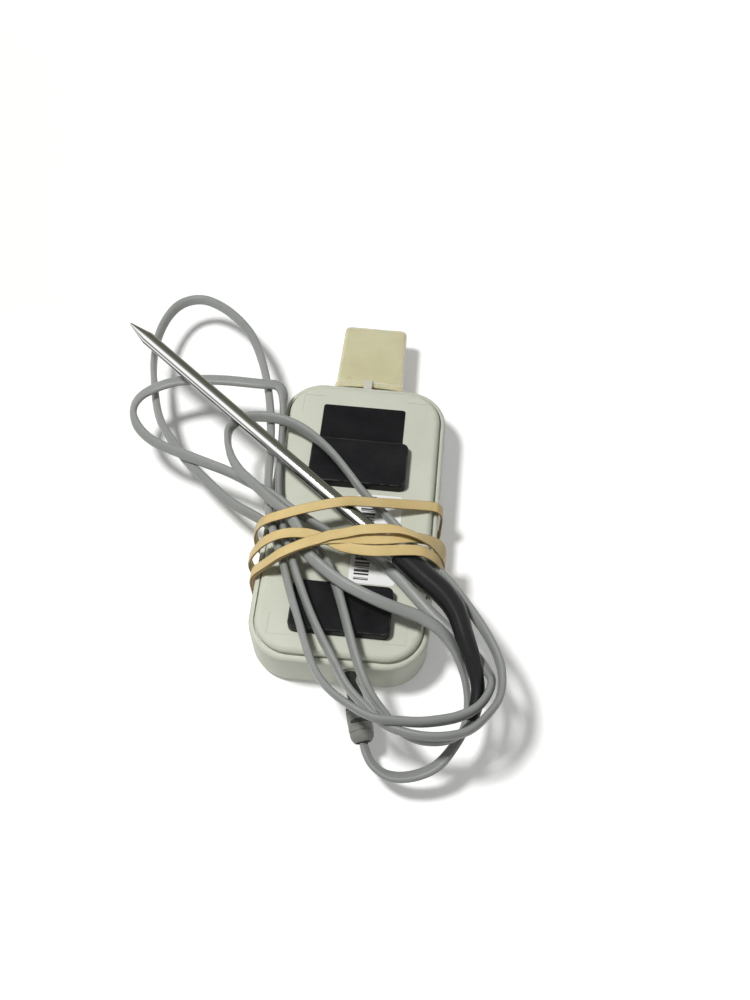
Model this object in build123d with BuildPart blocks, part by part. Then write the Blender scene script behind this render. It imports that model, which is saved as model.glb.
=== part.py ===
"""Water quality probe: a palm-sized interface box with its steel temperature probe,
the loose lead between them, and the rubber bands that hold the bundle together.

The box lies on its front, so its back lid is up.  Origin: centre of the box in plan, at the
lowest face of the rubber bands under it.  +Z is up, +Y points to the capped connector.
All sizes are in millimetres.
"""

import os
from math import pi, radians, tan

from build123d import *

# ----------------------------------------------------------------------------- box
box_width = 68.0
box_length = 126.0
box_depth = 23.5
box_corner = 16.5            # corner radius in plan
wall = 3.1                   # side wall below the ledge that carries the lid
floor_thickness = 2.2
floor_edge = 2.0             # rounding between the floor and the walls
rim_width = 1.9              # rim of the lower shell, outside the groove
rim_round = 1.7
groove_width = 0.6           # groove between the rim and the raised part of the lid
groove_depth = 1.0
lid_flange = 1.6             # thickness of the lid's flange on the ledge
lid_rise = 2.6               # lid face above the rim
lid_thickness = 2.2
lid_edge = 2.4               # rounding of the lid's edge
fit_gap = 0.05               # between parts that seat in one another
moving_gap = 0.3             # between parts that slide apart

# ---------------------------------------------------------------- marks on the lid
mark_inset = (8.2, 8.6)      # outer corner of each L mark, from the box's sides and ends
mark_arm = (8.8, 8.4)
mark_width = 0.5
mark_depth = 0.2
label_size = (34.2, 17.6)
label_centre = (-0.2, 41.6)
label_corner = 1.2
label_thickness = 0.6
label_proud = 0.1
pad_height = 4.5
pad_corner = 2.6
pad_edge = 1.0
upper_pad_size = (39.1, 20.7)
upper_pad_centre = (0.05, 21.05)
lower_pad_size = (37.8, 19.8)
lower_pad_centre = (0.4, -42.9)
sticker_size = (17.8, 39.2)
sticker_centre = (10.4, -11.2)
sticker_corner = 1.5
sticker_thickness = 0.2

# ------------------------------------------------------------------ inside the box
post_inset = (10.0, 13.0)    # from the box's sides and ends
post_radius = 3.3
post_height = 9.0
screw_radius = 1.2
screw_head_radius = 2.2
screw_head_height = 1.8
screw_length = 13.0
screw_slot = (2.6, 0.6)      # length and width of each slot of the cross
screw_slot_depth = 0.9
screw_recess = 2.6
panel_size = (50.0, 84.0)
panel_corner = 5.0
panel_thickness = 0.6
board_width = 38.0
board_front_inset = 19.0     # from the box's ends
board_back_inset = 13.0
board_thickness = 1.6
board_underside = 10.8
board_post_place = (14.0, 38.0)
board_post_radius = 2.4
chips = (                    # name, centre and size of each chip on the board
    ("processor_chip", (0.0, 8.0), (12.0, 12.0, 1.4)),
    ("amplifier_chip", (-8.0, -22.0), (6.0, 5.0, 1.6)),
    ("crystal", (10.0, 24.0), (5.0, 3.2, 1.2)),
)
chip_edge = 0.2

# ---------------------------------------------------- connector and its dust cap
connector_width = 25.0
connector_height = 8.0
connector_wall = 0.8
connector_reach = 27.0       # beyond the end of the box
connector_centre_z = 12.7
connector_corner = 1.6
connector_inset = 11.0       # the shell's inner end, from the end of the box
insert_reach = 7.0           # solid block inside the shell, beyond the end of the box
tongue_thickness = 1.4
tongue_width = 19.0
tongue_setback = 1.5
cap_wall = 1.2
cap_mouth_gap = 1.7          # from the end of the box to the cap's mouth
cap_length = 35.0
cap_side_extra = 0.9         # room beside the connector at the mouth
cap_taper = 1.3              # narrower at the closed end, over the whole width
cap_corner = 3.0
cap_lip_length = 3.0
cap_lip_proud = 0.5
latch_width = 3.7
latch_length = 5.0
latch_height = 1.6
latch_offset_x = -0.5

# ------------------------------------------------------------------ socket and plug
socket_x = 6.3
socket_z = 15.7
pin_radius = 1.75
pin_length = 13.5            # inside the socket
pin_chamfer = 0.7
running_gap = 0.05           # radial, between the pin and the bore
socket_block = (8.0, 15.0, 7.2)
socket_block_corner = 0.8
socket_end_wall = 1.0        # closed end of the bore
socket_collar_radius = 3.0
socket_rim_radius = 3.5
socket_rim_proud = 0.5
mouth_radius = 2.45
mouth_depth = 1.6
neck_radius = 2.15
neck_inset = 1.0             # neck front inside the socket's mouth
neck_straight = (4.3, 3.6)   # straight ends of the bent neck, at the socket and at the plug
plug_nose = (7.2, 24.5, 3.7) # beside, beyond and below the socket's centre at the box's end
plug_length = 14.0
plug_radius = 4.45
plug_nose_radius = 3.1
plug_nose_length = 3.4
plug_ring_width = 0.5
plug_ring_depth = 0.25
plug_rear_edge = 0.8

# ---------------------------------------------------------------- probe and sleeve
tube_radius = 2.8
tube_bore = 2.3
cone_length = 12.0
cone_tip_radius = 0.45
tube_insertion = 10.0
probe_root = (13.9, -16.4, 33.2)
probe_tip = (-101.2, 70.7, 41.7)
bead_length = 6.0
bead_radius = 1.8
sleeve_route = [
    (50.4, -80.9, 27.5, 2.3), (51.8, -75.3, 28.8, 2.4), (52.2, -71.1, 29.8, 2.5),
    (51.6, -67.1, 30.8, 2.6), (50.2, -62.6, 32.0, 2.9), (48.3, -57.3, 33.4, 3.2),
    (45.7, -51.3, 34.4, 3.5), (43.9, -46.2, 34.8, 3.7), (41.2, -41.0, 34.9, 4.1),
    (36.7, -35.7, 34.9, 4.5), (32.2, -32.0, 34.7, 4.6), (28.4, -28.7, 34.3, 4.7),
    (24.1, -24.9, 33.8, 4.7), (20.2, -21.5, 33.3, 4.7),
]
sleeve_end_radius = 4.6

# -------------------------------------------------------------------- rubber bands
# Each strand is a list of (x, y, z) on its underside, from left to right over the bundle.
band_width = 3.6
band_thickness = 1.0
band_slack = 0.2             # between a band and the box
band_split = 10.0            # below this height a band runs straight across under the box
band_bend = 5.0              # largest bend radius
band_probe_gap = 0.7
probe_crossing_z = 34.6      # the probe's axis where the front band crosses it
band_side = 4.0              # a band goes straight down its side from this far below a strand's end
front_lanes = (-13.4, 4.7)   # y of the front band down the left and right sides
front_strand = [
    (-box_width / 2, -13.4, 31.6), (-26.6, -12.8, 39.1), (-20.5, -10.2, 39.2),
    (-4.4, -2.9, probe_crossing_z + tube_radius + band_probe_gap),
    (box_width / 2 - 0.8, 4.7, 25.6), (box_width / 2 + 0.1, 4.7, 23.4),
]
lower_lanes = (-22.3, -18.3)
lower_strand = [
    (-box_width / 2 - 0.1, -22.1, 26.5), (-29.6, -20.1, 33.8), (-25.5, -19.2, 35.9), (-20.0, -19.6, 38.5),
    (-15.6, -19.7, 38.8), (-6.0, -22.4, 38.9), (5.4, -23.6, 39.2), (20.2, -22.8, 40.1),
    (27.3, -22.2, 39.9), (32.4, -20.6, 35.8), (box_width / 2 + 0.1, -18.4, 27.0),
]
upper_lanes = (-30.5, -14.0)
upper_strand = [
    (-box_width / 2 - 0.1, -30.3, 24.5), (-27.0, -26.8, 33.4), (-22.4, -25.4, 35.8), (-18.7, -24.6, 38.0),
    (-15.0, -23.4, 40.0), (-2.5, -19.4, 40.2), (8.4, -16.8, 40.5), (17.6, -15.2, 39.8),
    (24.1, -14.3, 36.6), (30.5, -14.0, 31.6), (box_width / 2 + 2.2, -14.0, 27.5),
    (box_width / 2 + 3.4, -14.0, 23.5), (box_width / 2 + 2.2, -14.0, 16.0),
]
inner_turn_width = 3.2
inner_turn = [
    (-4.0, -18.9, 38.9), (8.4, -19.9, 39.3), (19.0, -19.4, 39.6), (25.0, -18.4, 38.6),
    (30.5, -17.6, 34.6),
]

# --------------------------------------------------------------------------- cord
cord_diameter = 3.8
cord_pieces = 9
lead_corners = 5             # corners in the first stretch, which flexes with the plug
cord_route = [
    (13.5, -87.5, 12), (15, -92.5, 11.5), (20, -97.5, 12), (26, -99.5, 13.5), (33.5, -98.5, 15.5),
    (40.5, -95, 17.5), (45, -89, 19.5), (49, -82, 21), (49.5, -74.5, 22.5), (48.5, -67, 25),
    (44.9, -58.2, 29.4), (38.7, -50.9, 33.4), (30, -46.5, 35), (20.5, -44.5, 36), (11, -41.5, 36.5),
    (0, -36.5, 36), (-8, -31, 36), (-15.5, -25, 36), (-18, -17, 36.5), (-23, -10.5, 37),
    (-31, -5, 37), (-38.5, 1.5, 37), (-45.5, 7.5, 36), (-50, 14.5, 35), (-52.5, 21.5, 34),
    (-53.5, 29.5, 32.5), (-49, 34, 32.5), (-45, 36, 32), (-39, 36.5, 32), (-31, 35.5, 32),
    (-22, 31.5, 32), (-11.5, 23, 32), (-3, 13, 32.5), (4.5, 4.5, 30.5), (14.5, -2.5, 27),
    (23, -12, 27), (32, -21, 27), (39.5, -27.5, 27.5), (48, -39.5, 29.5), (55, -50, 31),
    (59.5, -59, 31), (60.6, -67, 31.5), (59.5, -74, 32.5), (55.5, -80.5, 34), (50, -86.5, 34),
    (43, -89, 34), (35.5, -90, 34), (27.5, -89, 33), (20.5, -86.5, 31.5), (12.5, -80, 31),
    (5.5, -73.5, 31), (1, -66, 31.5), (-5, -57, 32), (-11, -46.5, 32), (-16.5, -35, 33),
    (-21, -24.5, 33.5), (-25, -14.5, 33.5), (-29, -0.5, 28), (-31, 12, 27), (-32, 26, 27),
    (-33.5, 42.5, 27.5), (-35, 54.5, 30), (-44, 53.2, 31), (-53, 53.5, 31), (-61.5, 53.5, 31),
    (-70.5, 53, 30.5), (-80.5, 52, 29.5), (-89, 48, 28.5), (-94.5, 43, 28), (-95.5, 35.5, 28),
    (-91, 27.5, 28), (-83, 21.5, 28), (-73, 18, 28.5), (-61.5, 14, 29), (-49.5, 10, 29.5),
    (-39.5, 4, 31.5), (-30.5, -1, 34.5), (-23, -6.5, 34), (-16, -10, 33.5), (-6.5, -14.5, 32),
    (2.5, -18, 28), (12, -20.8, 27), (19.9, -27.3, 27), (26.5, -34.1, 27), (33.7, -41.3, 27),
    (41.1, -47.8, 27.3), (48.4, -54, 27.5), (54.5, -61.2, 28.8), (57.3, -68.5, 33.8), (53, -78, 36),
    (46, -82.5, 36), (39.5, -84.5, 36), (32, -86, 36), (24.5, -86, 36), (16.5, -86, 35.5),
    (9, -82.5, 35), (1, -77.5, 33.5), (-5.5, -70.5, 32), (-10, -61, 32), (-14.5, -50, 31.5),
    (-19, -39.5, 31.5), (-23, -28.5, 31), (-29, -15, 32), (-33, -3, 29), (-35, 12.5, 28),
    (-36.5, 29, 27.5), (-39.5, 46.5, 26.5), (-44.5, 64.5, 25), (-52, 82.5, 23.5), (-60, 93, 22),
    (-69.5, 101, 21.5), (-80, 105.5, 21), (-89.5, 101.5, 21), (-94, 91.5, 21), (-95.5, 79.5, 21),
    (-94, 65.5, 21.5), (-90.5, 52, 22), (-85.5, 37, 22.5), (-78.5, 27.5, 23), (-70, 17.5, 23.5),
    (-60, 8, 25), (-48.5, -2, 26.5), (-37, -7.5, 27), (-25.5, -13.5, 27), (-16, -16.5, 27),
    (-9, -21.5, 28), (-3, -33.5, 32), (1.5, -45, 32), (6.5, -59, 31.5), (10.5, -68.5, 30.5),
    (15, -76, 29), (20.5, -81.5, 27.5), (25.5, -86.5, 27), (32.5, -89.5, 26.5), (41.5, -89, 26.5),
    (47.8, -85.5, 27), (50.4, -80.9, 27.5),
]

# ----------------------------------------------------------------- derived heights
box_base = band_thickness + band_slack
lid_face = box_base + box_depth
rim_top = lid_face - lid_rise
ledge_z = rim_top - groove_depth - lid_flange
floor_top = box_base + floor_thickness
half_width = box_width / 2
half_length = box_length / 2
lid_inset = rim_width + groove_width
lid_pocket_top = lid_face - lid_thickness
post_top = floor_top + post_height
screw_seat = box_base + screw_recess
post_x = half_width - post_inset[0]
post_y = half_length - post_inset[1]
post_places = [(x, y) for x in (-post_x, post_x) for y in (-post_y, post_y)]
board_posts = [(x, y) for x in (-board_post_place[0], board_post_place[0])
               for y in (-board_post_place[1], board_post_place[1])]
board_top = board_underside + board_thickness
board_front = -half_length + board_front_inset
board_back = half_length - board_back_inset
connector_back = half_length - connector_inset
connector_end = half_length + connector_reach
cap_mouth = half_length + cap_mouth_gap
cap_end = cap_mouth + cap_length
cap_width = connector_width + 2 * (cap_side_extra + cap_wall)
cap_height = connector_height + 2 * (moving_gap + cap_wall)


def across(y):
    """Plane facing -Y at the given Y, with X to the right and Z up."""
    return Plane.XZ.offset(-y)


def plan(z):
    """Horizontal plane at height z."""
    return Plane.XY.offset(z)


def toward(start, end):
    """Unit vector from one point to another."""
    return (Vector(*end) - Vector(*start)).normalized()


def corner_radii(points, largest=1000.0, closed=False):
    """Radius for each corner of a route: as large as its two runs allow, up to a limit."""
    spots = [Vector(*p) for p in points]
    if closed:
        spots = [spots[-1]] + spots + [spots[0]]
    radii = []
    for before, corner, after in zip(spots, spots[1:], spots[2:]):
        run = min((corner - before).length, (after - corner).length)
        turn = (corner - before).get_angle(after - corner)
        radii.append(min(largest, 0.45 * run / tan(radians(turn / 2))))
    return radii


def save(piece, name):
    """Label a finished piece and write it as a STEP file."""
    piece.part.label = name
    export_step(piece.part, f"parts/{name}.step")


os.makedirs("parts", exist_ok=True)

# ============================================================================= box
with BuildPart() as lower_shell:
    with BuildSketch(plan(box_base)):
        RectangleRounded(box_width, box_length, box_corner)
    extrude(amount=rim_top - box_base)
    fillet(lower_shell.faces().sort_by(Axis.Z)[0].edges(), floor_edge)
    fillet(lower_shell.faces().sort_by(Axis.Z)[-1].edges(), rim_round)
    with BuildSketch(plan(floor_top)):
        RectangleRounded(box_width - 2 * wall, box_length - 2 * wall, box_corner - wall)
    extrude(amount=ledge_z - floor_top, mode=Mode.SUBTRACT)
    with BuildSketch(plan(ledge_z)):
        RectangleRounded(box_width - 2 * rim_width, box_length - 2 * rim_width, box_corner - rim_width)
    extrude(amount=rim_top - ledge_z, mode=Mode.SUBTRACT)
    # Posts for the screws, and lower ones that carry the board.
    with BuildSketch(plan(floor_top)):
        with Locations(*post_places):
            Circle(post_radius)
    extrude(amount=post_height)
    with BuildSketch(plan(floor_top)):
        with Locations(*board_posts):
            Circle(board_post_radius)
    extrude(amount=board_underside - floor_top)
    # Screw holes with sunk heads, and the shallow seat of the front panel.
    with BuildSketch(plan(box_base)):
        with Locations(*post_places):
            Circle(screw_radius + fit_gap)
    extrude(amount=post_top - box_base, mode=Mode.SUBTRACT)
    with BuildSketch(plan(box_base)):
        with Locations(*post_places):
            Circle(screw_head_radius + moving_gap)
    extrude(amount=screw_recess, mode=Mode.SUBTRACT)
    with BuildSketch(plan(box_base)):
        RectangleRounded(panel_size[0] + 2 * fit_gap, panel_size[1] + 2 * fit_gap, panel_corner)
    extrude(amount=panel_thickness, mode=Mode.SUBTRACT)
    # Openings in the end walls: the connector's slot and the socket's hole.
    with BuildSketch(across(half_length - wall - 1)):
        with Locations((0, connector_centre_z)):
            RectangleRounded(connector_width + 2 * fit_gap, connector_height + 2 * fit_gap, connector_corner)
    extrude(amount=-(wall + 2), mode=Mode.SUBTRACT)
    with BuildSketch(across(-half_length - 1)):
        with Locations((socket_x, socket_z)):
            Circle(socket_collar_radius + fit_gap)
    extrude(amount=-(wall + 2), mode=Mode.SUBTRACT)
save(lower_shell, "lower_shell")

with BuildPart() as back_lid:
    with BuildSketch(plan(ledge_z)):
        flange_inset = rim_width + fit_gap
        RectangleRounded(box_width - 2 * flange_inset, box_length - 2 * flange_inset, box_corner - flange_inset)
    extrude(amount=lid_flange)
    with BuildSketch(plan(ledge_z)):
        RectangleRounded(box_width - 2 * lid_inset, box_length - 2 * lid_inset, box_corner - lid_inset)
    extrude(amount=lid_face - ledge_z)
    fillet(back_lid.faces().sort_by(Axis.Z)[-1].edges(), lid_edge)
    with BuildSketch(plan(ledge_z)):
        pocket_inset = lid_inset + lid_thickness
        RectangleRounded(box_width - 2 * pocket_inset, box_length - 2 * pocket_inset, box_corner - pocket_inset)
    extrude(amount=lid_pocket_top - ledge_z, mode=Mode.SUBTRACT)
    # Posts that take the screws.
    with BuildSketch(plan(post_top)):
        with Locations(*post_places):
            Circle(post_radius)
    extrude(amount=lid_pocket_top - post_top)
    with BuildSketch(plan(post_top)):
        with Locations(*post_places):
            Circle(screw_radius + fit_gap)
    extrude(amount=screw_seat + screw_length - post_top + moving_gap, mode=Mode.SUBTRACT)
    # Seat of the label plate and the fine L marks at the corners.
    with BuildSketch(plan(lid_face - label_thickness + label_proud)):
        with Locations(label_centre):
            RectangleRounded(label_size[0] + 2 * fit_gap, label_size[1] + 2 * fit_gap, label_corner)
    extrude(amount=label_thickness, mode=Mode.SUBTRACT)
    with BuildSketch(plan(lid_face - mark_depth)):
        for side in (-1, 1):
            for end in (-1, 1):
                corner_x = side * (half_width - mark_inset[0])
                corner_y = end * (half_length - mark_inset[1])
                with Locations((corner_x - side * mark_arm[0] / 2, corner_y)):
                    Rectangle(mark_arm[0], mark_width)
                with Locations((corner_x, corner_y - end * mark_arm[1] / 2)):
                    Rectangle(mark_width, mark_arm[1])
    extrude(amount=2 * mark_depth, mode=Mode.SUBTRACT)
save(back_lid, "back_lid")


def flat_piece(centre, size, corner, base, thickness, edge=0.0):
    """Rounded rectangular plate or pad, its upper edge rounded by edge."""
    with BuildPart() as plate:
        with BuildSketch(plan(base)):
            with Locations(centre):
                RectangleRounded(size[0], size[1], corner)
        extrude(amount=thickness)
        if edge > 0:
            fillet(plate.faces().sort_by(Axis.Z)[-1].edges(), edge)
    return plate


label_plate = flat_piece(label_centre, label_size, label_corner,
                         lid_face - label_thickness + label_proud, label_thickness)
save(label_plate, "label_plate")
upper_pad = flat_piece(upper_pad_centre, upper_pad_size, pad_corner, lid_face, pad_height, pad_edge)
save(upper_pad, "upper_pad")
lower_pad = flat_piece(lower_pad_centre, lower_pad_size, pad_corner, lid_face, pad_height, pad_edge)
save(lower_pad, "lower_pad")
sticker = flat_piece(sticker_centre, sticker_size, sticker_corner, lid_face, sticker_thickness)
save(sticker, "sticker")
front_panel = flat_piece((0, 0), panel_size, panel_corner, box_base, panel_thickness)
save(front_panel, "front_panel")

for number, (x, y) in enumerate(post_places, start=1):
    with BuildPart() as case_screw:
        with BuildSketch(plan(screw_seat - screw_head_height)):
            with Locations((x, y)):
                Circle(screw_head_radius)
        extrude(amount=screw_head_height)
        with BuildSketch(plan(screw_seat)):
            with Locations((x, y)):
                Circle(screw_radius)
        extrude(amount=screw_length)
        with BuildSketch(plan(screw_seat - screw_head_height)):
            with Locations((x, y)):
                Rectangle(*screw_slot)
                Rectangle(*screw_slot, rotation=90)
        extrude(amount=screw_slot_depth, mode=Mode.SUBTRACT)
    save(case_screw, f"case_screw_{number}")

# ================================================================ board and chips
with BuildPart() as circuit_board:
    with BuildSketch(plan(board_underside)):
        with Locations((0, (board_front + board_back) / 2)):
            Rectangle(board_width, board_back - board_front)
    extrude(amount=board_thickness)
save(circuit_board, "circuit_board")

for chip_name, chip_centre, chip_size in chips:
    with BuildPart() as chip:
        with BuildSketch(plan(board_top)):
            with Locations(chip_centre):
                Rectangle(chip_size[0], chip_size[1])
        extrude(amount=chip_size[2])
        chamfer(chip.faces().sort_by(Axis.Z)[-1].edges(), chip_edge)
    save(chip, chip_name)

# ============================================================ connector and its cap
with BuildPart() as connector_shell:
    with BuildSketch(across(connector_back)):
        with Locations((0, connector_centre_z)):
            RectangleRounded(connector_width, connector_height, connector_corner)
            RectangleRounded(connector_width - 2 * connector_wall, connector_height - 2 * connector_wall,
                             connector_corner - connector_wall, mode=Mode.SUBTRACT)
    extrude(amount=-(connector_end - connector_back))
save(connector_shell, "connector_shell")

with BuildPart() as connector_insert:
    with BuildSketch(across(board_back)):
        with Locations((0, connector_centre_z)):
            RectangleRounded(connector_width - 2 * connector_wall, connector_height - 2 * connector_wall,
                             connector_corner - connector_wall)
    extrude(amount=-(half_length + insert_reach - board_back))
    # The contact tongue lies on the lower wall of the shell.
    tongue_z = connector_centre_z - connector_height / 2 + connector_wall + tongue_thickness / 2
    with BuildSketch(across(half_length + insert_reach)):
        with Locations((0, tongue_z)):
            Rectangle(tongue_width, tongue_thickness)
    extrude(amount=-(connector_reach - insert_reach - tongue_setback))
save(connector_insert, "connector_insert")

with BuildPart() as latch_rib:
    latch_z = connector_centre_z + cap_height / 2 + cap_lip_proud + moving_gap + latch_height / 2
    with BuildSketch(across(half_length)):
        with Locations((latch_offset_x, latch_z)):
            RectangleRounded(latch_width, latch_height, latch_height / 4)
    extrude(amount=-latch_length)
save(latch_rib, "latch_rib")


def cap_outline(y, width, height, corner):
    """Cross-section of the cap at the given Y."""
    with BuildSketch(across(y)) as outline:
        with Locations((0, connector_centre_z)):
            RectangleRounded(width, height, corner)
    return outline.sketch


with BuildPart() as dust_cap:
    loft([cap_outline(cap_mouth, cap_width, cap_height, cap_corner),
          cap_outline(cap_end, cap_width - cap_taper, cap_height, cap_corner)])
    fillet(dust_cap.faces().sort_by(Axis.Y)[-1].edges(), cap_wall)
    with BuildSketch(across(cap_mouth)):
        with Locations((0, connector_centre_z)):
            RectangleRounded(cap_width + 2 * cap_lip_proud, cap_height + 2 * cap_lip_proud,
                             cap_corner + cap_lip_proud)
    extrude(amount=-cap_lip_length)
    loft([cap_outline(cap_mouth, cap_width - 2 * cap_wall, cap_height - 2 * cap_wall, cap_corner - cap_wall),
          cap_outline(cap_end - cap_wall, cap_width - cap_taper - 2 * cap_wall, cap_height - 2 * cap_wall,
                      cap_corner - cap_wall)], mode=Mode.SUBTRACT)
save(dust_cap, "dust_cap")

# ================================================================ socket and plug
with BuildPart() as jack_socket:
    block_width, block_length, block_height = socket_block
    with BuildSketch(across(-half_length + wall)):
        with Locations((socket_x, socket_z)):
            RectangleRounded(block_width, block_height, socket_block_corner)
    extrude(amount=-block_length)
    with BuildSketch(across(-half_length - socket_rim_proud)):
        with Locations((socket_x, socket_z)):
            Circle(socket_collar_radius)
    extrude(amount=-(wall + socket_rim_proud))
    with BuildSketch(across(-half_length - socket_rim_proud)):
        with Locations((socket_x, socket_z)):
            Circle(socket_rim_radius)
    extrude(amount=-socket_rim_proud)
    with BuildSketch(across(-half_length - socket_rim_proud)):
        with Locations((socket_x, socket_z)):
            Circle(pin_radius + running_gap)
    extrude(amount=-(socket_rim_proud + wall + block_length - socket_end_wall), mode=Mode.SUBTRACT)
    with BuildSketch(across(-half_length - socket_rim_proud)):
        with Locations((socket_x, socket_z)):
            Circle(mouth_radius)
    extrude(amount=-mouth_depth, mode=Mode.SUBTRACT)
save(jack_socket, "jack_socket")

neck_front = -half_length - socket_rim_proud + neck_inset
plug_axis = toward(cord_route[0], cord_route[1])
plug_front = Vector(socket_x + plug_nose[0], -half_length - plug_nose[1], socket_z - plug_nose[2])
plug_rear = plug_front - plug_axis * plug_length
rear_plane = Plane(origin=plug_rear, z_dir=plug_axis)

with BuildPart() as plug_pin:
    with BuildSketch(across(neck_front)):
        with Locations((socket_x, socket_z)):
            Circle(pin_radius)
    extrude(amount=-pin_length)
    chamfer(plug_pin.faces().sort_by(Axis.Y)[-1].edges(), pin_chamfer)
save(plug_pin, "plug_pin")

with BuildPart() as plug_neck:
    neck_bend = Vector(socket_x, neck_front - neck_straight[0], socket_z)
    neck_lead = plug_rear - plug_axis * neck_straight[1]
    neck_route = [(socket_x, neck_front, socket_z), tuple(neck_bend), tuple(neck_lead), tuple(plug_rear)]
    with BuildLine() as neck_path:
        FilletPolyline(*neck_route, radius=corner_radii(neck_route))
    with BuildSketch(across(neck_front)):
        with Locations((socket_x, socket_z)):
            Circle(neck_radius)
    sweep(path=neck_path.line)
save(plug_neck, "plug_neck")

with BuildPart() as plug_body:
    with BuildSketch(rear_plane):
        Circle(plug_radius)
    extrude(amount=plug_length - plug_nose_length)
    fillet(plug_body.faces().sort_by(Axis.Y)[-1].edges(), plug_rear_edge)
    with BuildSketch(rear_plane.offset(plug_length - plug_nose_length)):
        Circle(plug_radius)
    with BuildSketch(rear_plane.offset(plug_length)):
        Circle(plug_nose_radius)
    loft()
    # Fine ring groove near the rear third.
    with BuildSketch(rear_plane.offset(plug_length / 3)):
        Circle(plug_radius + 1)
        Circle(plug_radius - plug_ring_depth, mode=Mode.SUBTRACT)
    extrude(amount=plug_ring_width, mode=Mode.SUBTRACT)
save(plug_body, "plug_body")

# =============================================================== probe and sleeve
probe_axis = toward(probe_root, probe_tip)
probe_length = (Vector(*probe_tip) - Vector(*probe_root)).length
root_plane = Plane(origin=probe_root, z_dir=probe_axis)
shaft_length = probe_length - cone_length

with BuildPart() as probe_tube:
    with BuildSketch(root_plane.offset(-tube_insertion)):
        Circle(tube_radius)
    extrude(amount=tube_insertion + shaft_length)
    with BuildSketch(root_plane.offset(shaft_length)):
        Circle(tube_radius)
    with BuildSketch(root_plane.offset(probe_length)):
        Circle(cone_tip_radius)
    loft()
    with BuildSketch(root_plane.offset(-tube_insertion)):
        Circle(tube_bore)
    extrude(amount=tube_insertion + shaft_length, mode=Mode.SUBTRACT)
save(probe_tube, "probe_tube")

with BuildPart() as sensor_bead:
    with BuildSketch(root_plane.offset(shaft_length - bead_length)):
        Circle(bead_radius)
    extrude(amount=bead_length)
save(sensor_bead, "sensor_bead")

with BuildPart() as probe_sleeve:
    stations = [Vector(x, y, z) for x, y, z, radius in sleeve_route] + [Vector(*probe_root)]
    station_radii = [radius for x, y, z, radius in sleeve_route] + [sleeve_end_radius]
    headings = [toward(cord_route[-2], cord_route[-1])]
    headings += [(after - before).normalized() for before, after in zip(stations, stations[2:])]
    headings += [probe_axis]
    for station, heading, radius in zip(stations, headings, station_radii):
        with BuildSketch(Plane(origin=station, z_dir=heading)):
            Circle(radius)
    loft()
    with BuildSketch(root_plane.offset(-tube_insertion)):
        Circle(tube_radius + fit_gap)
    extrude(amount=tube_insertion + 1, mode=Mode.SUBTRACT)
save(probe_sleeve, "probe_sleeve")


# ==================================================================== rubber bands
def strip(route, width, bottom, top):
    """Upright slab whose plan is a strip of the given width along a route."""
    left_edge = [(x, y + width / 2) for x, y, *_ in route]
    right_edge = [(x, y - width / 2) for x, y, *_ in reversed(route)]
    with BuildPart() as slab:
        with BuildSketch(plan(bottom)):
            with BuildLine():
                Polyline(*left_edge, *right_edge, close=True)
            make_face()
        extrude(amount=top - bottom)
    return slab.part


def band_half(strand, lanes, upper):
    """Upper or lower half of a band: its ring seen along Y, cut by a strip seen from above."""
    side = half_width + band_slack
    base = box_base - band_slack
    outline = [(-side, base), (-side, strand[0][2] - band_side)] + [(x, z) for x, y, z in strand]
    outline += [(side, min(band_split, strand[-1][2] - band_side)), (side, base)]
    reach = box_width
    if upper:
        route = [(-reach, lanes[0])] + [(x, y) for x, y, z in strand] + [(reach, lanes[1])]
        low, high = band_split, 3 * box_depth
    else:
        route = [(-reach, lanes[0]), (-half_width + 1, lanes[0]), (half_width - 1, lanes[1]), (reach, lanes[1])]
        low, high = -1, band_split
    bends = corner_radii([(x, z, 0) for x, z in outline], band_bend, closed=True)
    bends[0] = bends[-1] = floor_edge + band_slack
    with BuildPart() as half:
        with BuildSketch(Plane.XZ):
            with BuildLine():
                FilletPolyline(*outline, radius=bends, close=True)
            make_face()
            offset(amount=band_thickness)
            with BuildLine():
                FilletPolyline(*outline, radius=bends, close=True)
            make_face(mode=Mode.SUBTRACT)
        extrude(amount=box_length / 2, both=True)
        add(strip(route, band_width, low, high), mode=Mode.INTERSECT)
    return half.part


with BuildPart() as band_front:
    add(band_half(front_strand, front_lanes, upper=True))
    add(band_half(front_strand, front_lanes, upper=False))
save(band_front, "band_front")

# Two turns of one band: under the box each strand runs to the next lane, without crossing.
with BuildPart() as band_rear:
    add(band_half(lower_strand, lower_lanes, upper=True))
    add(band_half(upper_strand, upper_lanes, upper=True))
    add(band_half(lower_strand, (lower_lanes[0], upper_lanes[1]), upper=False))
    add(band_half(lower_strand, (upper_lanes[0], lower_lanes[1]), upper=False))
save(band_rear, "band_rear")

with BuildPart() as band_turn:
    over = [(x, z) for x, y, z in inner_turn]
    with BuildSketch(Plane.XZ):
        with BuildLine():
            Polyline(*over, *[(x, z + band_thickness) for x, z in reversed(over)], close=True)
        make_face()
    extrude(amount=box_length / 2, both=True)
    add(strip(inner_turn, inner_turn_width, 0, 3 * box_depth), mode=Mode.INTERSECT)
save(band_turn, "band_turn")

# ============================================================================ cord
# Straight runs joined by arcs, cut in the middle of runs into pieces that meet face to face.
cord_spots = [Vector(*p) for p in cord_route]
cord_radii = corner_radii(cord_route)
cord_corners = len(cord_radii)
cuts = [lead_corners + round(k * (cord_corners - lead_corners) / cord_pieces) for k in range(cord_pieces)]
cuts = [0] + cuts + [cord_corners]
print("cord corner radii:", ", ".join(f"{radius:.1f}" for radius in cord_radii))

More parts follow.
